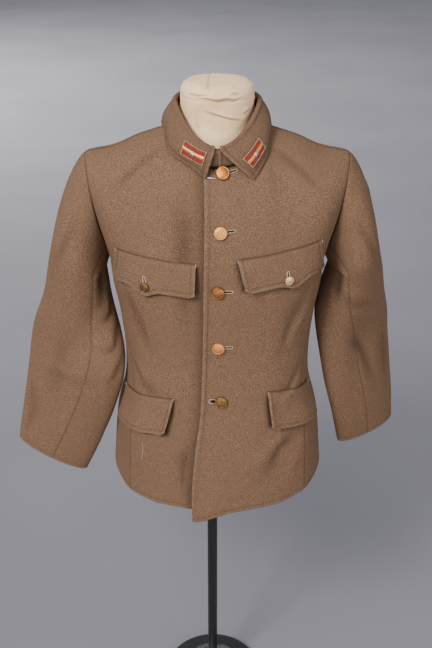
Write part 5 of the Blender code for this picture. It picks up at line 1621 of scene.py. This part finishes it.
def button_profile(radius):
    """Half section of a shanked button: shank, rolled rim, a fine channel and a low dome."""
    thick = BUTTON_THICKNESS * (BUTTON_LEAST + (1 - BUTTON_LEAST) * radius / BUTTON_RADIUS)
    return ([(0.0, 0.0), (radius * SHANK_SHARE, 0.0)]
            + [(radius * part, SHANK_LENGTH + thick * up) for part, up in BUTTON_SHAPE])


def spot_on(surface, degrees, height):
    """Point and normal on a front at an angle and a height."""
    angle = np.array(math.radians(degrees))
    level = level_at(angle, height, surface)
    return surface(angle, level), face_normals(surface, angle, level)


BUTTON_SIDES = 48
BUTTON_FINISHES = {
    "button_1": "gilt stamped brass",
    "button_2": "bright copper brass",
    "button_3": "stamped copper brass",
    "button_4": "bright copper brass",
    "button_5": "dull olive brass",
    "flap_button_right": "dull olive brass",
    "flap_button_left": "pale gilt brass",
}


def button_seats():
    """Each button with the height that it sits above its front, its radius and its hole."""
    for button in FRONT_BUTTONS:
        kind = GAPING_HOLE if button == FRONT_BUTTONS[-1] else FRONT_HOLE
        yield button, 0.0, BUTTON_RADIUS, kind
    for button, flap in zip(FLAP_BUTTONS, FLAPS):
        yield button, LAID_GAP + flap.lift + FLAP_WALL, FLAP_BUTTON_RADIUS, FLAP_HOLE


def build_buttons():
    """Front buttons and flap buttons, each on its shank."""
    for button, lift, radius, _ in button_seats():
        point, normal = spot_on(front_surface(button.side), button.side * button.degrees,
                                button.height)
        thing = lathe("metal_" + button.name, button_profile(radius),
                      point + normal * (lift + SEAM_GAP), normal, BUTTON_SIDES,
                      finish(BUTTON_FINISHES[button.name]))
        settle(thing, [button.name], "brass")


def patch_on(surface, degrees, height):
    """A function that lays offsets (rightward, upward) at a spot onto the surface."""
    angle = np.array(math.radians(degrees))
    level = level_at(angle, height, surface)
    point = surface(angle, level)
    across_rate = np.linalg.norm(surface(angle + SMALL_STEP, level) - point) / SMALL_STEP
    up_rate = np.linalg.norm(surface(angle, level + SMALL_STEP) - point) / SMALL_STEP

    def lay(right, up, clearance):
        angles = angle + right / across_rate
        levels = level + up / up_rate
        normals = face_normals(surface, angles, levels)
        return surface(angles, levels) + normals * np.array(clearance)[..., None], normals

    return lay


def buttonhole(name, button, lift, kind):
    """A worked buttonhole: a near-black sheet, the slit's painted shadow, inside a rim of pale
    thread.
    """
    lay = patch_on(front_surface(button.side), button.side * button.degrees, button.height)
    turn = np.linspace(0, 2 * np.pi, HOLE_POINTS)
    reach = kind.length / 2 - kind.half
    along = kind.length / 2 + np.where(np.cos(turn) >= 0, reach, -reach)
    along = along + kind.half * np.cos(turn)
    side = kind.half * np.sin(turn)

    def placed(along, side, height):
        clearance = lift + height - kind.dip * along ** 2
        if kind.upright:
            return lay(side, along, clearance)
        return lay(kind.way * along, side, clearance)

    rim, normals = placed(along, side, HOLE_LIFT)
    sewn_row(name, rim, normals, thread="pale thread", pitch=0.0012, fill=0.92, half=0.0008)
    shape = np.array(SLIT_SHAPE)
    along = kind.length / 2 + shape[:, 0] * reach
    side = shape[:, 1] * kind.half * kind.slit
    high = placed(along, side, HOLE_LIFT + SLIT_LIFT)[0]
    low = placed(along, side, 0.0)[0]
    count = len(shape)
    faces = [tuple(range(count)), tuple(range(count, 2 * count))[::-1]]
    for k in range(count):
        after = (k + 1) % count
        faces.append((k, k + count, after + count, after))
    slit = mesh_object(name + "_slit", np.concatenate([high, low]), faces, finish("dark slit"))
    settle(slit, [], "wool_cloth")


def build_buttonholes():
    """Level buttonholes beside the front buttons and upright ones above the flap buttons."""
    for button, lift, _, kind in button_seats():
        buttonhole("hole_" + button.name, button, lift, kind)


def leaf_patch(tab, along, across):
    """Turn and share on the leaf for distances along and across a tab."""
    turn = np.array(math.radians(tab.degrees))
    share = np.array(tab.share)
    tilt = math.radians(tab.tilt)
    along, across = (along * math.cos(tilt) - across * math.sin(tilt),
                     along * math.sin(tilt) + across * math.cos(tilt))
    by_turn = leaf_surface(turn + SMALL_STEP, share) - leaf_surface(turn - SMALL_STEP, share)
    by_share = leaf_surface(turn, share + SMALL_STEP) - leaf_surface(turn, share - SMALL_STEP)
    turn_rate = np.linalg.norm(by_turn) / (2 * SMALL_STEP)
    share_rate = np.linalg.norm(by_share) / (2 * SMALL_STEP)
    return turn + along / turn_rate, share + across / share_rate


def on_leaf(tab, along, across, clearance):
    """Points a clearance above the leaf, and the leaf's outward normals there."""
    turns, shares = leaf_patch(tab, along, across)
    normals = face_normals(leaf_surface, turns, shares)
    out = outward(turns)
    normals = normals * np.sign(np.sum(normals * out, axis=-1, keepdims=True))
    return leaf_surface(turns, shares) + normals * clearance, normals


BRAID_PITCH = 0.0018  # from strand to strand of the twisted braid
STRAND_HEIGHT = 0.00018
BRAID_REACH = 0.48  # share of the tab's length that it covers to each side
BRAID_ROUND = 0.7  # how much lower its edges are than its middle
BRAID_POINTS = (97, 13)  # along and across
TAB_POINTS = (31, 17)


def build_tabs():
    """Red collar tabs with whipped edges, each with its braid and a small star."""
    for tab in TABS:
        label = SIDE_NAMES[tab.side]
        low = LAID_GAP + TAB_WALL
        along, across = np.meshgrid(np.linspace(-0.5, 0.5, TAB_POINTS[0]) * TAB_LENGTH,
                                    np.linspace(-0.5, 0.5, TAB_POINTS[1]) * TAB_WIDTH)
        points, normals = on_leaf(tab, along, across, low)
        points = cloth("tab_" + label, points, normals, cut="tab", wall=TAB_WALL,
                       wool="dyed wool felt", slot="tab_cloth", held="laid",
                       rests_on="cloth_collar_leaf")
        loop = rim_loop(*points.shape[:2])
        edge = points.reshape(-1, 3)[np.append(loop, loop[0])]
        out = normals.reshape(-1, 3)[np.append(loop, loop[0])]
        sewn_row("whipping_tab_" + label, edge, out, "tab_cloth", thread="pale thread",
                 pitch=0.0022, fill=0.6, half=0.0006)
        low = low + TRIM_GAP
        along, across = np.meshgrid(
            np.linspace(-BRAID_REACH, BRAID_REACH, BRAID_POINTS[0]) * TAB_LENGTH,
            np.linspace(-0.5, 0.5, BRAID_POINTS[1]) * STRIPE_WIDTH)
        round_top = STRIPE_WALL * (1 - BRAID_ROUND * (2 * across / STRIPE_WIDTH) ** 2)
        strands = STRAND_HEIGHT * np.sin(2 * np.pi * (along + np.abs(across)) / BRAID_PITCH)
        points, normals = on_leaf(tab, along, across, low)
        points = points + normals * (round_top + strands)[..., None]
        thing = shell("braid_" + label, points, normals, STRIPE_WALL * 0.5,
                      finish("twisted gold braid"))[0]
        settle(thing, ["tab_stripe_" + label], "gold_braid")
        build_star(tab, label, low + STRIPE_WALL + TRIM_GAP)


def build_star(tab, label, clearance):
    """A small five-pointed star with ridges from its middle to its points."""
    middle, normal = on_leaf(tab, np.array(0.0), np.array(0.0), clearance)
    ahead = on_leaf(tab, np.array(SMALL_STEP), np.array(0.0), clearance)[0]
    first = unit(ahead - middle)
    second = np.cross(normal, first)
    ring = []
    for k in range(2 * STAR_POINTS):
        radius = STAR_RADIUS if k % 2 == 0 else STAR_RADIUS * STAR_WAIST
        at = math.pi / 2 + math.pi * k / STAR_POINTS
        ring.append(middle + radius * (math.cos(at) * first + math.sin(at) * second))
    points = ring + [p + normal * STAR_WALL * 0.5 for p in ring]
    points += [middle, middle + normal * STAR_WALL * 1.5]
    count = 2 * STAR_POINTS
    faces = []
    for k in range(count):
        after = (k + 1) % count
        faces += [(k, after, after + count, k + count), (after, k, 2 * count),
                  (k + count, after + count, 2 * count + 1)]
    thing = mesh_object("star_" + label, points, faces, finish("bent steel wire"))
    settle(thing, ["tab_star_" + label], "star_metal")


# ---------------------------------------------------------------- form and stand

FORM_CELLS = 20  # points of the form from the neck to each shoulder tip
FORM_RINGS = 46
NECK_POINTS = 30  # in each quarter of the neck
NECK_SCALE = (0.001, 0.001)  # metres for a degree round the neck, and for a millimetre
NECK_CANVAS_RINGS = 46
CAP_RINGS = 60
CAP_SEAM_DEGREES = 2.0  # slant of the seam across the cap
CAP_SEAM_ASIDE = 0.0125  # and how far it runs beside the middle
CAP_SEAM_SINK = 0.0011
CAP_SEAM_HALF = 0.0014
CAP_SEAM_RIDGE = 0.0006  # height of the felled seam's second ply,
CAP_RIDGE_ASIDE = 0.0035  # its distance from the seam
CAP_RIDGE_HALF = 0.0020  # and its half-width
CAP_SEAM_FADE = 0.15  # share of the cap over which the seam fades at its rim
# painted shade along the cap's seam
CAP_SEAM_PAINTED_SHADE = 0.55
CANVAS_DUST_AND_SHADE_DEPTH = 0.0022  # a wrinkle this deep is as dark with dust and painted shade as it gets
CANVAS_DUST_AND_SHADE_MOST = 0.6
CAP_DUST_AND_SHADE_MOST = 0.8


def form_surface(angle, level, back):
    """Torso of the form: inside the tunic, and just clear of it at the shoulders."""
    def panel(across, up):
        return body(across, up, back)

    points = panel(angle, level)
    normals = face_normals(panel, angle, level)
    if level == TOP_LEVEL:
        normals = shoulder_mitre(normals[None], angle[None])[0]
    inset = WALL + smooth(FORM_INSET, "inset", level)
    middle = hump(angle, FORM_FRONT_WIDTH)
    away = np.minimum(np.abs(angle), np.pi - np.abs(angle))
    near_neck = ease((NECK_ANGLE + FORM_NECK_WIDTH - away) / FORM_NECK_WIDTH)
    near_neck = near_neck * ease((level - FORM_NECK_LEVEL) / (TOP_LEVEL - FORM_NECK_LEVEL))
    inset = inset + FORM_FRONT_EXTRA * middle + FORM_NECK_EXTRA * near_neck
    return points - normals * inset[..., None]


def form_bottom():
    """Height of the form's flat underside."""
    return HEM + (UNDERARM - HEM) * FORM_BOTTOM_LEVEL


def form_rings():
    """Rings of the torso and the neck angle of each point of the neckline."""
    outer_share = np.linspace(0, 1, FORM_CELLS + 1)
    middle_share = np.linspace(0, 1, NECK_POINTS * 2 + 1)[1:-1]
    side = NECK_ANGLE + (np.pi / 2 - NECK_ANGLE) * outer_share
    middle = NECK_ANGLE * (2 * middle_share - 1)
    front = np.concatenate([-side[::-1], middle, side])
    back = np.concatenate([np.pi - side[::-1], np.pi + middle, np.pi + side])
    back = np.where(back > np.pi, back - 2 * np.pi, back)
    rings = []
    for level in np.linspace(FORM_BOTTOM_LEVEL, TOP_LEVEL, FORM_RINGS):
        rings.append(np.concatenate([form_surface(front, level, False),
                                     form_surface(back, level, True)]))
    rings[0][:, 2] = form_bottom()
    top = rings[-1]
    last = len(front) + len(back) - 1
    for k in range(FORM_CELLS + 1):
        for one, other in ((k, last - k), (len(front) - 1 - k, len(front) + k)):
            top[[one, other]] = (top[one] + top[other]) / 2
    keep = np.concatenate([np.arange(FORM_CELLS, len(front) - FORM_CELLS),
                           len(front) + np.arange(FORM_CELLS + 1, len(back) - FORM_CELLS - 1)])
    angles = np.concatenate([front, back])[keep]
    share = np.minimum(np.abs(angles), np.pi - np.abs(angles)) / NECK_ANGLE
    turns = np.where(np.abs(angles) <= np.pi / 2, share, 2 - share) * np.pi / 2 * np.sign(angles)
    return rings, keep, turns


def canvas_creases(turn, height):
    """Outward shift of the neck canvas, round the neck at a height."""
    return crease_height(NECK_CREASES, np.degrees(turn), height * 1000, NECK_SCALE)


def neck_point(turn, height):
    """Point of the neck's canvas, creased, round the neck at a height."""
    scale, y = columns(NECK_RINGS, height)
    shift = canvas_creases(turn, height)
    x = CENTRE_X + (NECK_HALF * scale + shift) * np.sin(turn)
    return xyz(x, y - (NECK_HALF_DEPTH * scale + shift) * np.cos(turn), height)


def cap_rings(turns):
    """Rings of the cap: canvas drawn over the rounded top of the neck and seamed across."""
    reach = np.array([part for part, height in CAP_PROFILE[1:]])
    rise = np.array([height for part, height in CAP_PROFILE[1:]])
    places = np.linspace(0, len(reach) - 1, CAP_RINGS)[1:]
    steps = np.arange(len(reach))
    top = NECK_RINGS[-1]
    rings = []
    depths = []
    for place in places:
        part = np.interp(place, steps, reach)
        height = top.height + SEAM_GAP + np.interp(place, steps, rise)
        shift = canvas_creases(turns, np.full(turns.shape, height)) * part
        x = (NECK_HALF * top.scale * part + shift) * np.sin(turns)
        y = -(NECK_HALF_DEPTH * top.scale * part + shift) * np.cos(turns)
        across = x - math.tan(math.radians(CAP_SEAM_DEGREES)) * y + CAP_SEAM_ASIDE
        inside = ease((1 - part) / CAP_SEAM_FADE)
        seam = hump(across, CAP_SEAM_HALF) * inside
        felled = hump(across - CAP_RIDGE_ASIDE, CAP_RIDGE_HALF) * inside
        rings.append(xyz(CENTRE_X + x, top.y + y,
                         height - CAP_SEAM_SINK * seam + CAP_SEAM_RIDGE * felled))
        # Painted shade along the seam, and dust with painted shade in the creases.
        depths.append(np.clip(CAP_SEAM_PAINTED_SHADE * seam + canvas_dust_and_shade(shift), 0, CAP_DUST_AND_SHADE_MOST))
    return rings, depths


def canvas_dust_and_shade(shift):
    """How soiled the canvas is, with painted shade, in the bottom of a crease."""
    return np.clip(-shift / CANVAS_DUST_AND_SHADE_DEPTH, 0, CANVAS_DUST_AND_SHADE_MOST)


def build_form():
    """Canvas cover of the torso, its neck and the rounded top of the neck, in one."""
    rings, keep, turns = form_rings()
    count = len(rings[0])
    loop = rings[-1][keep]
    first = neck_point(turns, np.full(turns.shape, NECK_RINGS[0].height))
    root = loop + (first - loop) * NECK_ROOT_SHARE
    root[:, 2] = np.minimum(root[:, 2], loop[:, 2]) - NECK_ROOT_DIP
    heights = np.linspace(NECK_RINGS[0].height, NECK_RINGS[-1].height, NECK_CANVAS_RINGS)
    neck = [neck_point(turns, np.full(turns.shape, height)) for height in heights]
    shifts = [canvas_creases(turns, ring[:, 2]) for ring in neck]
    cap, cap_depths = cap_rings(turns)
    upper = [root] + neck + cap
    around = len(turns)
    faces = [tuple(range(count))[::-1]]
    faces += tube(0, len(rings), count)
    start = len(rings) * count
    top_row = start - count
    for k in range(around):
        after = (k + 1) % around
        faces.append((top_row + keep[k], top_row + keep[after], start + after, start + k))
    faces += tube(start, len(upper), around)
    total = start + len(upper) * around
    faces.append(tuple(range(total - around, total)))
    deep = np.concatenate([np.zeros(start + around)] + [canvas_dust_and_shade(s) for s in shifts]
                          + cap_depths)
    thing = mesh_object("form_cover", np.concatenate(rings + upper), faces,
                        finish("cotton canvas"), (("deep", deep),))
    settle(thing, ["form_torso", "form_cap"], "canvas")


SOFT_MOST = 0.45  # share of a side that a softened corner may take
SOFT_STEPS = (0.0, 0.33, 0.67, 1.0)
STAND_SIDES = 96
PLATE_RISE = 0.006  # the plate's middle is this much higher than its edge


def softened(profile, soft):
    """A turned profile with each corner cut by a small radius in three steps."""
    points = [profile[0]]
    for before, corner, after in zip(profile, profile[1:], profile[2:]):
        before, corner, after = (np.array(p) for p in (before, corner, after))
        into = corner - before
        out = after - corner
        cut = min(soft, np.linalg.norm(into) * SOFT_MOST, np.linalg.norm(out) * SOFT_MOST)
        low = corner - unit(into) * cut
        high = corner + unit(out) * cut
        for t in SOFT_STEPS:
            points.append(tuple((1 - t) ** 2 * low + 2 * t * (1 - t) * corner + t * t * high))
    points.append(profile[-1])
    return points


def build_stand():
    """Pole with its flange, and the stepped round base."""
    origin = np.zeros(3)
    up = (0.0, 0.0, 1.0)
    low = form_bottom() - SEAM_GAP - FLANGE_HEIGHT
    plate_top = BASE_EDGE + PLATE_RISE
    ring_low = plate_top + SEAM_GAP
    # Name, node, finish, slot, radius of the corners, and the half section turned round.
    turned = (
        ("stand_flange", "pole_flange", "black enamel", "black_metal", 0.0015,
         ((0.0, low), (FLANGE_RADIUS * 0.7, low), (FLANGE_RADIUS, low + FLANGE_HEIGHT * 0.6),
          (FLANGE_RADIUS, low + FLANGE_HEIGHT), (0.0, low + FLANGE_HEIGHT))),
        ("stand_pole", "pole", "black enamel", "black_metal", 0.0008,
         ((0.0, HUB_TOP + SEAM_GAP), (POLE_RADIUS, HUB_TOP + SEAM_GAP),
          (POLE_RADIUS, low - SEAM_GAP), (0.0, low - SEAM_GAP))),
        ("stand_plate", "base_plate", "black enamel", "black_metal", 0.0022,
         ((0.0, 0.0), (BASE_RADIUS * 0.985, 0.0), (BASE_RADIUS, 0.003), (BASE_RADIUS, BASE_EDGE),
          (BASE_RADIUS * 0.97, BASE_EDGE + 0.003), (RING_RADIUS * 1.10, plate_top),
          (0.0, plate_top))),
        ("stand_ring", "base_ring", "turned steel", "ring_steel", 0.0016,
         ((0.0, ring_low), (RING_RADIUS, ring_low), (RING_RADIUS, RING_TOP - 0.002),
          (RING_RADIUS * 0.96, RING_TOP), (HUB_RADIUS * 1.2, RING_TOP + 0.002),
          (HUB_RADIUS, RING_TOP + 0.005), (HUB_RADIUS * 0.9, HUB_TOP), (0.0, HUB_TOP))),
    )
    for name, node, surface, slot, soft, profile in turned:
        thing = lathe(name, softened(profile, soft), origin, up, STAND_SIDES, finish(surface))
        settle(thing, [node], slot)


# ---------------------------------------------------------------- stage

# Lamps: place, side of the square panel, power, spread of the beam and where it is aimed.
Lamp = namedtuple("Lamp", "name place size power spread aim")
LAMPS = rows(
    Lamp,
    ("key_softbox", (-1.5, -2.2, 2.9), 0.9, 106, 180, (0, 0, 0.95)),
    ("fill_softbox", (2, -2, 1.1), 1.8, 30, 180, (0, 0, 0.9)),
    ("low_softbox", (0.15, -2.3, 0.4), 1.3, 11, 180, (0, 0, 0.95)),
    ("backdrop_softbox", (-5.5, 5, 4.5), 3, 430, 95, (-2.2, 5.5, 0)),
)
SKY_TURN = (38.0, 0.0, -28.0)  # direction of the broad even light, in degrees
SKY_SPREAD = 50.0
WORLD_COLOUR = "#C8CAD2"  # pale grey walls all round


def aimed(thing, place, target):
    """Stand a lamp at a place, facing a target."""
    thing.location = place
    run = np.array(target) - np.array(place)
    level = math.hypot(run[0], run[1])
    thing.rotation_euler = (math.atan2(level, -run[2]), 0.0, math.atan2(-run[0], run[1]))


def build_stage():
    """Floor, soft lamps, pale surroundings and the camera."""
    stage = bpy.context.scene.tunic_stage
    half = stage.floor_size / 2
    corners = [(-half, -half, 0.0), (half, -half, 0.0), (half, half, 0.0), (-half, half, 0.0)]
    floor = mesh_object("floor", corners, [(0, 1, 2, 3)], finish("matt paper floor"))
    for lamp in LAMPS:
        light = bpy.data.lights.new(lamp.name, "AREA")
        light.energy = lamp.power * stage.light_power
        light.size = lamp.size
        light.spread = math.radians(lamp.spread)
        aimed(placed_in_scene(lamp.name, light), lamp.place, lamp.aim)
    ceiling = bpy.data.lights.new("ceiling_bounce", "SUN")
    ceiling.energy = stage.ceiling
    ceiling.angle = math.radians(SKY_SPREAD)
    thing = placed_in_scene("ceiling_bounce", ceiling)
    thing.rotation_euler = tuple(math.radians(turn) for turn in SKY_TURN)
    world = bpy.data.worlds.new("studio")
    world.use_nodes = True
    background = world.node_tree.nodes["Background"]
    background.inputs["Color"].default_value = linear(WORLD_COLOUR)
    background.inputs["Strength"].default_value = stage.surroundings
    bpy.context.scene.world = world
    lens = bpy.data.cameras.new("camera")
    lens.lens = LENS_MM
    camera = placed_in_scene("camera", lens)
    camera.location = CAMERA_PLACE
    camera.rotation_euler = (math.radians(90 - CAMERA_DOWN), 0.0, 0.0)
    bpy.context.scene.camera = camera


# ---------------------------------------------------------------- add-on

class TunicCloth(bpy.types.PropertyGroup):
    """Sizes of the cloth that a user would change."""

    wall: FloatProperty(name="Cloth thickness", description="Thickness of the wool cloth",
                        default=WALL, min=0.001, max=0.003, unit="LENGTH", precision=4)


class TunicStage(bpy.types.PropertyGroup):
    """Floor and light."""

    floor_size: FloatProperty(name="Floor size", description="Side of the square floor",
                              default=24.0, min=2.0, unit="LENGTH")
    light_power: FloatProperty(name="Light", description="Brightness of all lamps together",
                               default=1.0, min=0.0)
    ceiling: FloatProperty(name="Ceiling light",
                           description="Brightness of the broad even light from above",
                           default=1.35, min=0.0)
    surroundings: FloatProperty(name="Surroundings",
                                description="Brightness of the light from all round",
                                default=0.70, min=0.0)


def colour_choice(name, description, code):
    """A colour that the user can choose, with the usual one as its default."""
    return FloatVectorProperty(name=name, description=description, subtype="COLOR", size=3,
                               min=0.0, max=1.0, default=linear(code)[:3])


class TunicColours(bpy.types.PropertyGroup):
    """Main colour of each material; its lighter and darker shades follow."""

    cloth: colour_choice("Cloth", "Colour of the mixed wools", BODY_WOOL.main)
    collar: colour_choice("Collar", "Colour of the collar's wools", COLLAR_WOOL.main)
    tabs: colour_choice("Collar tabs", "Colour of the tabs' felt", TAB_FELT.main)
    canvas: colour_choice("Form", "Colour of the form's clean canvas", COVER_CANVAS.main)
    floor: colour_choice("Floor", "Colour of the paper floor", FLOOR_PAPER.main)


def settings():
    """The cloth's settings."""
    return bpy.context.scene.tunic_cloth


def colours():
    """The chosen colours."""
    return bpy.context.scene.tunic_colours


def built(*builders):
    """Run a step's builders in order."""
    for build in builders:
        build()
    return {"FINISHED"}


class TUNIC_OT_form(bpy.types.Operator):
    """Build the canvas-covered dress form."""

    bl_idname = "tunic.form"
    bl_label = "Dress form"

    def execute(self, context):
        return built(build_form)


class TUNIC_OT_stand(bpy.types.Operator):
    """Build the pole and the round base."""

    bl_idname = "tunic.stand"
    bl_label = "Pole and base"

    def execute(self, context):
        return built(build_stand)


class TUNIC_OT_body(bpy.types.Operator):
    """Build both fronts and the back."""

    bl_idname = "tunic.body"
    bl_label = "Fronts and back"

    def execute(self, context):
        return built(build_body, build_loose_thread)


class TUNIC_OT_sleeves(bpy.types.Operator):
    """Build both two-piece sleeves."""

    bl_idname = "tunic.sleeves"
    bl_label = "Sleeves"

    def execute(self, context):
        return built(build_sleeves)


class TUNIC_OT_collar(bpy.types.Operator):
    """Build the collar and its hook."""

    bl_idname = "tunic.collar"
    bl_label = "Collar"

    def execute(self, context):
        return built(build_collar, build_hook)


class TUNIC_OT_flaps(bpy.types.Operator):
    """Build the four pocket flaps."""

    bl_idname = "tunic.flaps"
    bl_label = "Pocket flaps"

    def execute(self, context):
        return built(build_flaps)


class TUNIC_OT_buttons(bpy.types.Operator):
    """Build the buttons and their buttonholes."""

    bl_idname = "tunic.buttons"
    bl_label = "Buttons and buttonholes"

    def execute(self, context):
        return built(build_buttons, build_buttonholes)


class TUNIC_OT_tabs(bpy.types.Operator):
    """Build the collar tabs with braid and star."""

    bl_idname = "tunic.tabs"
    bl_label = "Collar tabs"

    def execute(self, context):
        return built(build_tabs)


class TUNIC_OT_stage(bpy.types.Operator):
    """Build the floor, the lamps and the camera."""

    bl_idname = "tunic.stage"
    bl_label = "Stage"

    def execute(self, context):
        return built(build_stage)


GROUPS = {"tunic_cloth": TunicCloth, "tunic_colours": TunicColours, "tunic_stage": TunicStage}
STEPS = ("stage", "form", "stand", "body", "sleeves", "collar", "flaps", "buttons", "tabs")


class TUNIC_PT_panel(bpy.types.Panel):
    """Lists the pieces and their settings."""

    bl_label = "Dress tunic"
    bl_idname = "TUNIC_PT_panel"
    bl_space_type = "VIEW_3D"
    bl_region_type = "UI"
    bl_category = "Tunic"

    def draw(self, context):
        column = self.layout.column()
        for setting, group in GROUPS.items():
            for name in group.__annotations__:
                column.prop(getattr(context.scene, setting), name)
        for step in STEPS:
            column.operator("tunic." + step)


CLASSES = (*GROUPS.values(), TUNIC_OT_form, TUNIC_OT_stand, TUNIC_OT_body, TUNIC_OT_sleeves,
           TUNIC_OT_collar, TUNIC_OT_flaps, TUNIC_OT_buttons, TUNIC_OT_tabs, TUNIC_OT_stage,
           TUNIC_PT_panel)


def register():
    """Register the classes and their settings."""
    for one in CLASSES:
        bpy.utils.register_class(one)
    for name, group in GROUPS.items():
        setattr(bpy.types.Scene, name, PointerProperty(type=group))


def unregister():
    """Take the classes and their settings away again."""
    for name in GROUPS:
        delattr(bpy.types.Scene, name)
    for one in reversed(CLASSES):
        bpy.utils.unregister_class(one)


def main():
    """Build every piece in order."""
    register()
    for step in STEPS:
        getattr(bpy.ops.tunic, step)()


if __name__ == "__main__":
    main()
